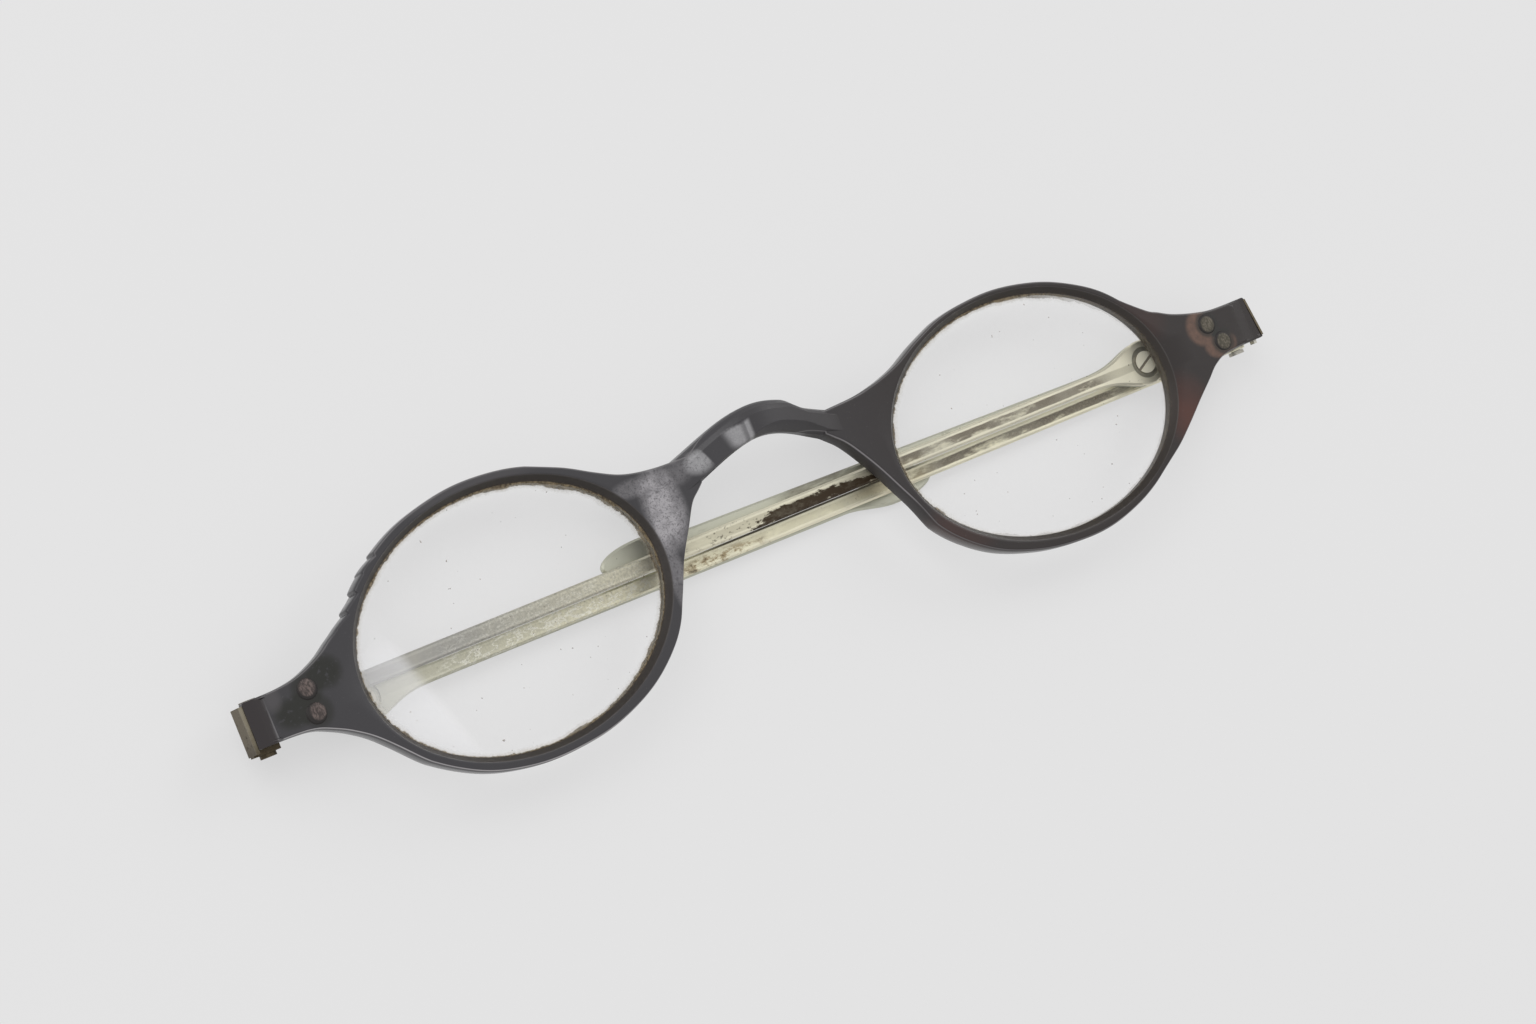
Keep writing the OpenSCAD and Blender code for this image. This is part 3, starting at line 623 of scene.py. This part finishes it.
HORN = horn()
DARK_TARNISH = (0.10, 0.075, 0.05)
BAR = {s: bar_metal(s) for s in SIDES}
TIP = metal("silver_tip", (0.58, 0.58, 0.48), DARK_TARNISH, 12.0, 0.30, rough=0.46)
HINGE = metal("brass_right", (0.56, 0.54, 0.48), (0.12, 0.10, 0.07), 19.0, 0.7, rough=0.42)
BRASS = metal("brass", (0.150, 0.125, 0.085), (0.03, 0.024, 0.018), 17.0, 1.0, rough=0.42, worn_and_highlit_top=True)
RIVET = {LEFT: rivet_metal(LEFT, (0.055, 0.043, 0.040), (0.15, 0.115, 0.105)),
         RIGHT: rivet_metal(RIGHT, (0.070, 0.062, 0.045), (0.15, 0.130, 0.100))}
PIN = metal("pin_metal", (0.88, 0.84, 0.68), DARK_TARNISH, 31.0, 0.15, rough=0.40,
            slot_z=LEFT_TOP - 0.06, shine=0.3)


# Front

# Edges of an end, from the rim outward: distance from the middle of the front,
# height over the middle line of the end, one list per side
CROWN = {LEFT: [(46.1, 4.8), (47.4, 4.1), (49.0, 3.3), (51.4, 2.5), (53.8, 2.1)],
         RIGHT: [(46.1, 5.2), (47.4, 4.35), (49.0, 3.35), (51.4, 2.45), (53.8, 2.1)]}
SOLE = {LEFT: [(46.2, -5.6), (48.2, -3.95), (50.0, -2.85), (51.6, -2.2), (53.6, -2.0)],
        RIGHT: [(42.65, -8.7), (44.25, -7.68), (46.2, -6.42), (48.2, -5.13), (50.0, -4.04),
                (51.6, -2.87), (53.6, -2.15)]}
# Edges of the web on the nose's side and under the brow, as distance from the middle, height
NOSE = {LEFT: [(7.2, 5.35), (7.75, 4.9), (8.95, 3.87), (10.37, 1.68), (11.98, -0.86), (13.35, -3.6)],
        RIGHT: [(7.2, 5.4), (7.7, 5.0), (9.04, 3.77), (10.66, 1.46), (12.2, -1.26), (13.6, -3.74)]}
BROW = {LEFT: [(20.17, 11.0), (17.0, 9.45), (14.3, 8.35), (11.0, 7.9), (7.2, 7.9)],
        RIGHT: [(20.2, 10.45), (17.0, 8.95), (12.64, 7.72), (8.62, 7.35), (7.2, 7.3)]}
# Where the rim passes into the lower edge of its end, the upper edge, the brow and the nose,
# in degrees, and the step between its points
SHOULDER = {LEFT: (314.0, 320.0, 326.0), RIGHT: (302.0, 308.0)}
CROWN_AT, BROW_AT, NOSE_AT, RIM_STEP = (38.0, 44.0), (110.0, 116.0), (212.0, 218.0), 1.5
# Where an edge begins to rise to its end's middle line, and over what length
RISE_X, RISE_LEN = 44.0, 7.5
# How far the corners of an end lie over the even middle line
CORNER_UP = {LEFT: 0.0, RIGHT: 0.12}
# Outward slant of an end's square edge, for each millimetre down
SLANT = {LEFT: 0.0, RIGHT: 0.13}
# Height of the small step where the facet begins
STEP_H = {LEFT: 0.16, RIGHT: 0.0}
# Section of the front as (outward growth, height): outer wall up to the face, then inward
OUTER = [(-0.15, BACK), (-0.02, BACK + 0.06), (0.08, BACK + 0.25), (0.17, -1.6), (0.2, -1.1),
         (0.2, -0.5), (0.17, -0.25), (0.11, -0.1), (0.05, -0.03), (-0.03, 0.0)]
INNER = [(0.05, 0.0), (0.0, -0.02), (-0.03, -0.06), (-0.28, -0.38), (-BEVEL_W, -BEVEL_D),
         (-BEVEL_W, -1.55), (-0.35, -2.0), (-0.12, BACK)]
# Rings of the face between its outer edge and the lens, closest where the end's facet steps down
FACE_STATIONS = (0.03, 0.07, 0.1, 0.12, 0.135, 0.145, 0.155, 0.165, 0.18, 0.21, 0.3, 0.5, 0.75)
# Rings of the back from the lens outward, closest where the end is cut away
BACK_STATIONS = (0.8, 0.5, 0.33, 0.3, 0.285, 0.275, 0.265, 0.255, 0.245, 0.22, 0.15, 0.06)
# Chips along the left rim's outer edge: angle in degrees, half width in degrees, depth
CHIPS = [(52.7, 3.6, 0.27), (45.4, 3.0, 0.12), (38.0, 3.5, 0.33), (30.5, 3.3, 0.30)]
# Share of a chip's width that slopes gently, and its share of depth below the foot height
CHIP_SLOPE, CHIP_FOOT, CHIP_FOOT_SHARE = 0.88, -1.7, 0.8
# Degrees of the outline that get closer points for the chips, and how many
CHIP_RANGE, CHIP_POINTS = (24, 60), 150
# Points of the outline that lie closer than this are one
DOUBLED = 0.02


def eye(turn, grow, s):
    """Points of a lens opening at angles turn, as if it were on the right.

    An ellipse of (half width + grow) cos and (half height + grow) sin, turned by the droop.
    """
    wide, high, dx, dy, droop = EYE[s]
    a, b = (wide + grow) * np.cos(turn), (high + grow) * np.sin(turn)
    return np.column_stack([EYE_X + dx + a * math.cos(droop) + b * math.sin(droop),
                            dy + b * math.cos(droop) - a * math.sin(droop)])


def ray(p, s):
    """Angle on the lens ellipse of the ray through each point: the arctangent of its height
    over its distance, turned back by the droop and each in half sizes of the ellipse."""
    wide, high, dx, dy, droop = EYE[s]
    x, y = p[:, 0] - EYE_X - dx, p[:, 1] - dy
    return np.arctan2((x * math.sin(droop) + y * math.cos(droop)) / high,
                      (x * math.cos(droop) - y * math.sin(droop)) / wide)


def rim(degrees, s):
    """Points of the rim's outer face edge: the lens opening grown by the rim's width, which
    eases from each eighth of a turn to the next."""
    degrees = np.asarray(degrees, float)
    turn = (degrees % 360) / 45.0
    k, part = np.floor(turn).astype(int), ease(turn % 1)
    width = np.array(RIM[s])
    return eye(np.radians(degrees), width[k % 8] * (1 - part) + width[(k + 1) % 8] * part, s)


def lifted(points, s):
    """An end's edge points, raised to the end's middle line by an ease of the distance."""
    p = np.array(points)
    p[:, 1] += END_Y[s] * ease((p[:, 0] - RISE_X) / RISE_LEN)
    return p


def outline(s):
    """Face outline of one half, anticlockwise, in the right half's sense.

    Stretches of the rim, an offset ellipse, joined by curves through the points of the web
    and the end, and straight across the end and at the bridge.
    """
    low, high = ((REACH[s] + 0.02 + SLANT[s] * END_W * (1 - v) / 2,
                  END_Y[s] + v * END_W / 2 + CORNER_UP[s]) for v in (-1, 1))
    steps = 10
    nose = curve(np.vstack([NOSE[s], rim(NOSE_AT, s)]), steps)[:-steps]
    chin = rim(np.arange(NOSE_AT[0], SHOULDER[s][1], RIM_STEP), s)
    sole = curve(np.vstack([rim(SHOULDER[s], s), lifted(SOLE[s], s), [low]]), steps)[steps:]
    crown = curve(np.vstack([[high], lifted(CROWN[s], s)[::-1], rim(CROWN_AT, s)]), steps)[1:-steps]
    top = rim(np.arange(CROWN_AT[0], BROW_AT[1], RIM_STEP), s)
    brow = curve(np.vstack([rim(BROW_AT, s), BROW[s]]), steps)[steps:]
    across = spread([BROW[s][-1], NOSE[s][0]], 10)[:-1]
    return np.vstack([nose, chin, sole, spread([low, high], 16), crown, top, brow, across])


def side_of(p, s):
    """The right half's points as they are, or mirrored and reversed for the left."""
    return p if s > 0 else (p * [-1, 1])[::-1]


def loft_line(s):
    """The outline without doubled points and, where the chips are, with closer ones."""
    line = outline(s)
    far = np.linalg.norm(np.diff(line, axis=0), axis=1) > DOUBLED
    line = line[np.concatenate([[True], far])]
    if s > 0:
        return line
    turn = np.degrees(ray(line, s))
    chipped = np.where((turn > CHIP_RANGE[0]) & (turn < CHIP_RANGE[1]))[0]
    first, last = chipped.min(), chipped.max()
    return np.vstack([line[:first], spread(line[first:last + 1], CHIP_POINTS), line[last + 1:]])


def chip_depth(turn):
    """Depth of the deepest chip at each angle: up its gentle slope as a power of 1.4, then
    straight down its steep one."""
    depth = np.zeros(len(turn))
    for at, half, deep in CHIPS:
        k = np.clip((np.degrees(turn) - at) / half, -1, 1)
        gentle, steep = (1 + k) / (1 + CHIP_SLOPE), (1 - k) / (1 - CHIP_SLOPE)
        depth = np.maximum(depth, deep * np.where(k > CHIP_SLOPE, steep, gentle ** 1.4))
    return depth


def half_front(s):
    """One half of the horn front, lofted round its lens opening.

    The outer rings are the outline moved out along its normals, with a slight hand-cut wave,
    a sum of two sines of the angle. The inner rings are the lens ellipse at the same rays, and
    the rings of the face and the back lie on straight lines between the two. Over the end,
    the face slopes down in a facet and the back stops at the cut for the joint.
    """
    line = loft_line(s)
    normal, turn = normals(line), ray(line, s)
    wave = 0.02 * np.sin(9 * turn + s) + 0.015 * np.sin(17 * turn)
    chip = chip_depth(turn) if s < 0 else 0.0
    outer = [line + normal * (grow + wave - chip * (1.0 if z > CHIP_FOOT else CHIP_FOOT_SHARE))[:, None]
             for grow, z in OUTER]
    inner = [eye(turn, grow, s) for grow, _ in INNER]
    face = [outer[-1] * (1 - k) + inner[0] * k for k in FACE_STATIONS]
    back = [outer[0] * (1 - k) + inner[-1] * k for k in BACK_STATIONS]
    flat = np.array(outer + face + inner + back)
    heights = ([z for _, z in OUTER] + [0.0] * len(face) + [z for _, z in INNER]
               + [BACK] * len(back))
    x, y, z = flat[..., 0], flat[..., 1], np.array(heights)[:, None]
    limit = REACH[s] + SLANT[s] * (END_Y[s] + END_W / 2 - y)
    past = x - (REACH[s] - FACET_LEN)
    fall = (STEP_H[s] * np.clip(past / 0.12, 0, 1)
            + (FACET_DROP - STEP_H[s]) * np.clip(past / FACET_LEN, 0, 1.1))
    z = np.where(z > BACK / 2, np.minimum(z, -fall), z)
    z = np.where(x > NOTCH_X, np.maximum(z, NOTCH_Z), z)
    rings = np.stack([np.minimum(x, limit), y, z], -1)
    return rings if s > 0 else (rings * [-1, 1, 1])[:, ::-1]


def bridge_rings():
    """The bridge: a bar that bows up to the brow and out of the face, its brow edge sloped.

    At each x its section has corners between its lower and upper edges, its face and its back.
    The face rises by the arch times an ease of the distance from the middle. Its middle line
    is the mean of a parabola and a squared cosine of x. On the nose's side it has a facet, from
    nothing at the left to its full width at the right, and towards the webs a thin skirt.
    """
    reach, run, stations = 9.6, 9.5, 110
    x = np.linspace(-reach, reach, stations)
    rise = 1 - ease(np.abs(x) / run)
    arch = (1 - x * x / 100 + np.cos(np.radians(9 * x)) ** 2) / 2
    y = BRIDGE_FOOT_Y + (BRIDGE_Y - BRIDGE_FOOT_Y) * arch
    top = BRIDGE_ARCH * rise - 0.02
    under = BACK + 0.02 + (FRONT_T - BRIDGE_T + BRIDGE_ARCH) * rise
    low, high = y - BRIDGE_W / 2, y + BRIDGE_W / 2 - 0.62 * ease((x - 3.5) / 2.5)
    facet = 0.12 + 0.75 * ease((x + 3.0) / 5.5) * (1 - 0.8 * ease((x - 5.0) / 3.0))
    deep = 0.25 + 0.9 * facet
    skirt = 0.35 * (1 - rise)
    slope = 1.0 - 0.35 * ease((x - 2.5) / 3.0)
    section = [(low - skirt + 0.4, under), (low - skirt + 0.12, under + 0.12), (low - skirt, under + 0.4),
               (low - skirt * 0.5, np.minimum(top - deep - 0.12, top - 0.4)),
               (low + 0.04, top - deep + 0.05), (low + facet * 0.5, top - deep * 0.42),
               (low + facet, top - 0.02), (low + facet + 0.06, top),
               (high - slope - 0.05, top), (high - slope, top - 0.02), (high - slope * 0.55, top - 0.24),
               (high - 0.2, top - 0.6), (high - 0.06, top - 0.85), (high, top - 1.15),
               (high, under + 0.35), (high - 0.1, under + 0.12), (high - 0.4, under)]
    return section_rings([(x, across, z) for across, z in section[::-1]])


def end_strip():
    """Thin brass end of the right joint, seen edge on past the horn: a bevelled strip that
    follows the horn's slant, from the facet down past its lower edge."""
    bevel, thick, foot = 0.06, 0.24, -1.9
    middle = END_Y[RIGHT] + 0.1
    y = middle + np.array([-END_W / 2, bevel - END_W / 2, END_W / 2 - bevel, END_W / 2])
    cut = bevel * np.array([0, 1, 1, 0])
    inner = REACH[RIGHT] + SLANT[RIGHT] * (END_Y[RIGHT] + END_W / 2 - y) - 0.1
    outer = inner + 0.1 + thick - bevel + cut
    head = cut - FACET_DROP - 0.02
    return section_rings([(inner, y, foot - cut), (outer, y, foot - cut), (outer, y, foot + 0.05),
                          (outer, y, -FACET_DROP - 0.12), (outer - bevel - cut, y, head), (inner, y, head)])


for s in SIDES:
    half = solid("horn_front_" + NAME[s], half_front(s), "front", HORN, closed=True)
    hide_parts("front")
bridge = solid("horn_bridge", bridge_rings(), "front", HORN, sharp=13.0)
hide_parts("front")
solid("end_strip_right", end_strip(), "front", BRASS)


# Lenses

def lens(s):
    """A thin oval disc: the ellipse shrunk to its middle by k, its faces bulged by 1 - k squared."""
    turn = np.linspace(0, 2 * math.pi, 160, endpoint=False)
    edge = side_of(eye(turn, GROOVE_D - BEVEL_W, s), s)
    centre = np.array([s * (EYE_X + EYE[s][2]), EYE[s][3]])
    k = np.linspace(0.02, 1.0, 18)
    z = -LENS_EDGE_T / 2 - LENS_BULGE * (1 - k * k)
    k = np.concatenate([k, k[::-1]])[:, None, None]
    return at_heights(centre + (edge - centre) * k, BACK / 2 + np.concatenate([z, -z[::-1]]))


for s in SIDES:
    disc = solid("lens_" + NAME[s] + "_clear", lens(s), "front", glass(s))
    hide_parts("lens_" + NAME[s])


# Sides and tips

# Profile of a side's boss with its recess: radius and height under the bar's top
BOSS_TOP = [(0.58, -SIDE_T + 0.02), (BOSS_R - 0.2, -SIDE_T), (BOSS_R, -SIDE_T + 0.2), (BOSS_R, -0.2),
            (BOSS_R - 0.03, -0.12), (BOSS_R - 0.16, -0.01), (BOSS_R - 0.24, -0.004),
            (RECESS_R + 0.03, -0.004), (RECESS_R, -0.03), (RECESS_R, -RECESS_D), (0.58, -RECESS_D)]
# Profile of a knuckle: radius and place along the joint's axis
KNUCKLE = [(JOINT_PIN_R + PIN_GAP, -ROOT_W / 2), (KNUCKLE_R - 0.06, -ROOT_W / 2),
           (KNUCKLE_R, -ROOT_W / 2 + 0.06), (KNUCKLE_R, ROOT_W / 2 - 0.06),
           (KNUCKLE_R - 0.06, ROOT_W / 2), (JOINT_PIN_R + PIN_GAP, ROOT_W / 2)]
# Middle line of each side's arm, as distance and height from the joint's axis
ARM_LINE = {LEFT: [(0.0, -0.1), (0.5, -0.45), (1.0, -DROP[LEFT] - SIDE_T / 2),
                   (2.0, -DROP[LEFT] - SIDE_T / 2)],
            RIGHT: [(0.0, 0.0), (-0.05, -0.9), (0.25, -1.75), (1.1, -DROP[RIGHT] - SIDE_T / 2 + 0.02),
                    (2.6, -DROP[RIGHT] - SIDE_T / 2 + 0.02)]}
# Half thickness of the arm at each of those points
ARM_HALF = {LEFT: [0.8, 0.7, 0.33, 0.325], RIGHT: [0.9, 0.75, 0.62, 0.42, 0.325]}
# Section of the arm, as shares of its half width and half thickness
ARM_SECTION = [(-1, -0.8), (-0.85, -1), (0.85, -1), (1, -0.8),
               (1, 0.8), (0.85, 1), (-0.85, 1), (-1, 0.8)]


def place(s, points):
    """Points of a side's own frame set into the folded part: turned by the side's yaw about z,
    the right one tilted about y, then moved to the joint."""
    turn = Matrix.Rotation(TILT if s > 0 else 0.0, 3, "Y") @ Matrix.Rotation(YAW[s], 3, "Z")
    return points @ np.array(turn).T + [s * JOINT_X, ROOT_Y[s], JOINT_Z]


def swell(d, r):
    """Half width of a bar at distance d from the middle of a boss of radius r.

    Half the bar's width, plus the rest of r times e to minus (d over the flare) squared.
    """
    return SIDE_W / 2 + (r - SIDE_W / 2) * np.exp(-(d / BOSS_FLARE) ** 2)


def leaf_rings(line, bevel=0.2, fine=0.03):
    """A flat bar of that outline, its top at height 0: the outline moved in along its normals
    at the top and the foot, by a broad bevel with finely rounded corners."""
    inward, z = np.array([(bevel, -SIDE_T), (fine, bevel - SIDE_T - fine), (0.0, bevel - SIDE_T),
                          (0.0, -bevel), (fine, -bevel + fine), (bevel - fine, -fine), (bevel, 0.0)]).T
    return at_heights(line - normals(line) * inward[:, None, None], z)


def side_line(s):
    """Outline of a side's bar: it widens as swell says, up to an arc round its turn pin's recess."""
    length = SIDE_LEN[s]
    d = np.concatenate([np.linspace(length - 1.3, 12, 60), np.linspace(11.9, 1.15, 50)])
    low = np.column_stack([length - d, -swell(d, BOSS_R - 0.02)])
    a = np.radians(np.linspace(235, 125, 24))
    arc = [length, 0] + (RECESS_R + 0.06) * np.column_stack([np.cos(a), np.sin(a)])
    return np.vstack([low, arc, (low * [1, -1])[::-1]])


def tip_half(x):
    """Half width of a tip at distance x from its turn pin.

    The boss's swell or the paddle's ease, whichever is wider, and over the last stretch of the
    paddle a quarter of an ellipse: the root of 1 less (1 less the share left) squared.
    """
    left, end = TIP_LEN - x, PADDLE_LEN * 0.45
    round_end = PADDLE_R * np.sqrt(np.clip(1 - (1 - np.clip(left / end, 0, 1)) ** 2, 1e-4, 1))
    paddle = SIDE_W / 2 + (PADDLE_R - SIDE_W / 2) * (1 - ease((left - end) / (PADDLE_LEN - end)))
    return np.where(left < end, round_end, np.maximum(swell(x, BOSS_R - 0.1), paddle))


def tip_line():
    """Outline of a tip, anticlockwise from the far side of its boss: an arc, then plus and minus
    the half width along it."""
    x = np.concatenate([np.linspace(0.1, 12, 50), np.linspace(13, TIP_LEN - 12, 20),
                        np.linspace(TIP_LEN - 11, TIP_LEN - 1, 50),
                        TIP_LEN - 0.9 * np.linspace(1, 0, 16) ** 2])
    low = np.column_stack([x, -tip_half(x)])
    a = np.radians(np.arange(183, 269, 5.0))
    boss = (BOSS_R - 0.1) * np.column_stack([np.cos(a), np.sin(a)])
    return np.vstack([boss, low, (low * [1, -1])[::-1], (boss * [1, -1])[::-1]])


def knuckle_rings():
    """The knuckle's profile turned about z, laid over onto y and turned back by the lane's turn."""
    x, y, z = np.moveaxis(revolve(KNUCKLE), -1, 0)
    return turned(np.stack([x, z, -y], -1), -LANE_TURN)


def arm_rings(s):
    """The arm that leads from the knuckle down to the bar, a bent strap.

    A curve through its middle line, with the section laid across it: shares of the width
    along y, and shares of the thickness along the curve's normal.
    """
    steps = 8
    path = curve(ARM_LINE[s], steps)
    along = np.gradient(path, axis=0)
    along /= np.linalg.norm(along, axis=1)[:, None]
    half = np.interp(np.arange(len(path)) / steps, np.arange(len(ARM_HALF[s])), ARM_HALF[s])
    wide, thick = np.array(ARM_SECTION).T
    x = path[:, :1] - along[:, 1:] * half[:, None] * thick
    z = path[:, 1:] + along[:, :1] * half[:, None] * thick
    return np.stack([x, np.broadcast_to(wide * (ROOT_W - 0.06) / 2, x.shape), z], -1)


def build_side(s):
    """A side in four pieces and the tip folded under it."""
    at_pin = np.array([SIDE_LEN[s], 0, -DROP[s]])
    pieces = [("bar", leaf_rings(side_line(s)) - [0, 0, DROP[s]], False),
              ("boss", revolve(BOSS_TOP) + at_pin, True),
              ("knuckle", knuckle_rings(), True),
              ("arm", arm_rings(s), False)]
    side, tip = "side_" + NAME[s], "tip_" + NAME[s]
    for part, rings, closed in pieces:
        obj = solid(side + "_" + part, place(s, rings), side, BAR[s], closed)
        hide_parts(side)
    folded = turned(leaf_rings(tip_line()), math.radians(180 - LEAN[s])) + at_pin
    leaf = solid(tip + "_leaf", place(s, folded - [0, 0, SIDE_T + LEAF_GAP]), tip, TIP)
    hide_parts(tip)


for s in SIDES:
    build_side(s)


# Small fittings: CAD nodes that keep their shape and get a finish and a fine edge

FITTINGS = {"joint_plate_left": BRASS, "joint_plate_right": HINGE,
            "joint_pin_left": BRASS, "joint_pin_right": HINGE,
            "turn_pin_left": PIN, "turn_pin_right": PIN,
            "rivet_left_upper": RIVET[LEFT], "rivet_left_lower": RIVET[LEFT],
            "rivet_right_upper": RIVET[RIGHT], "rivet_right_lower": RIVET[RIGHT]}
FINE_EDGE = 0.04

for name, mat in FITTINGS.items():
    fitting = NODES[name]
    fitting.data.materials.clear()
    fitting.data.materials.append(mat)
    edge = fitting.modifiers.new("edge", "BEVEL")
    edge.width, edge.segments, edge.angle_limit = FINE_EDGE * MM, 2, math.radians(40)
    edge.limit_method = "ANGLE"


# Floor, light and camera

def floor():
    """A wide pale square just under the part; most of what is seen of it is its own even tone."""
    half, sunk, share = 2.5, 0.0002, 0.70
    mesh = bpy.data.meshes.new("floor")
    mesh.from_pydata([(-half, -half, 0), (half, -half, 0), (half, half, 0), (-half, half, 0)],
                     [], [(0, 1, 2, 3)])
    f = Nodes(bpy.data.materials.new("floor"), "ShaderNodeOutputMaterial")
    paper = f.principled((0.78, 0.778, 0.775), Roughness=0.9, Specular_IOR_Level=0.1)
    even = f.plain("ShaderNodeEmission", (0.785, 0.783, 0.787))
    path = f.node("ShaderNodeLightPath", {}, {})
    camera, through, glossy = (Sock(f, path.outputs["Is " + kind + " Ray"])
                               for kind in ("Camera", "Transmission", "Glossy"))
    mesh.materials.append(f.surface(f.blend(camera.most(through).most(glossy) * share, paper, even)))
    obj = bpy.data.objects.new("floor", mesh)
    bpy.context.scene.collection.objects.link(obj)
    obj.location.z = -sunk


def studio():
    """An even white world, a little brighter in reflections."""
    world = bpy.data.worlds.new("studio")
    bpy.context.scene.world = world
    f = Nodes(world, "ShaderNodeOutputWorld")
    path = f.node("ShaderNodeLightPath", {}, {})
    level = f.node("ShaderNodeMapRange", {}, {
        "Value": path.outputs["Is Glossy Ray"], "To Min": 0.62, "To Max": 0.66})
    f.surface(f.plain("ShaderNodeBackground", (1.0, 1.0, 1.0), Strength=level.outputs["Result"]))


def softbox(name, place_at, width, power):
    """A square area light, aimed at the part."""
    light = bpy.data.lights.new(name, "AREA")
    light.size, light.energy = width, power
    obj = bpy.data.objects.new(name, light)
    obj.location = place_at
    obj.rotation_euler = (-Vector(place_at)).to_track_quat("-Z", "Y").to_euler()
    bpy.context.scene.collection.objects.link(obj)


# Camera fitted to the photograph: place and aim in millimetres over the face of the front,
# roll about its aim, and focal length over the photograph's width
CAM_AT = np.array([-180.36, -9.35, 331.32])
CAM_AIM = np.array([-1.904, 0.448, 0.0])
ROLL = math.radians(22.04)
FOCAL_PX, PHOTO_W = 4026.4, 1536.0


def photo_camera():
    """The camera: a level line square to its aim and to y, then a roll about the aim."""
    forward = (CAM_AIM - CAM_AT) / np.linalg.norm(CAM_AIM - CAM_AT)
    level = np.cross(forward, (0, 1, 0))
    level /= np.linalg.norm(level)
    down = np.cross(forward, level)
    right = math.cos(ROLL) * level + math.sin(ROLL) * down
    low = -math.sin(ROLL) * level + math.cos(ROLL) * down
    camera = bpy.data.cameras.new("camera")
    camera.sensor_width = 36.0
    camera.lens = FOCAL_PX / PHOTO_W * camera.sensor_width
    camera.clip_start = 0.01
    pose = np.eye(4)
    pose[:3] = np.column_stack([right, -low, -forward, (CAM_AT + [0, 0, LIFT]) * MM])
    cam = bpy.data.objects.new("camera", camera)
    cam.matrix_world = Matrix(pose.tolist())
    bpy.context.scene.collection.objects.link(cam)
    bpy.context.scene.camera = cam


floor()
studio()
softbox("key", (-0.42, 0.5, 0.75), 0.7, 3.6)
softbox("fill", (0.75, 0.38, 0.55), 0.5, 2.0)
photo_camera()
bpy.context.scene.view_settings.view_transform = "Standard"
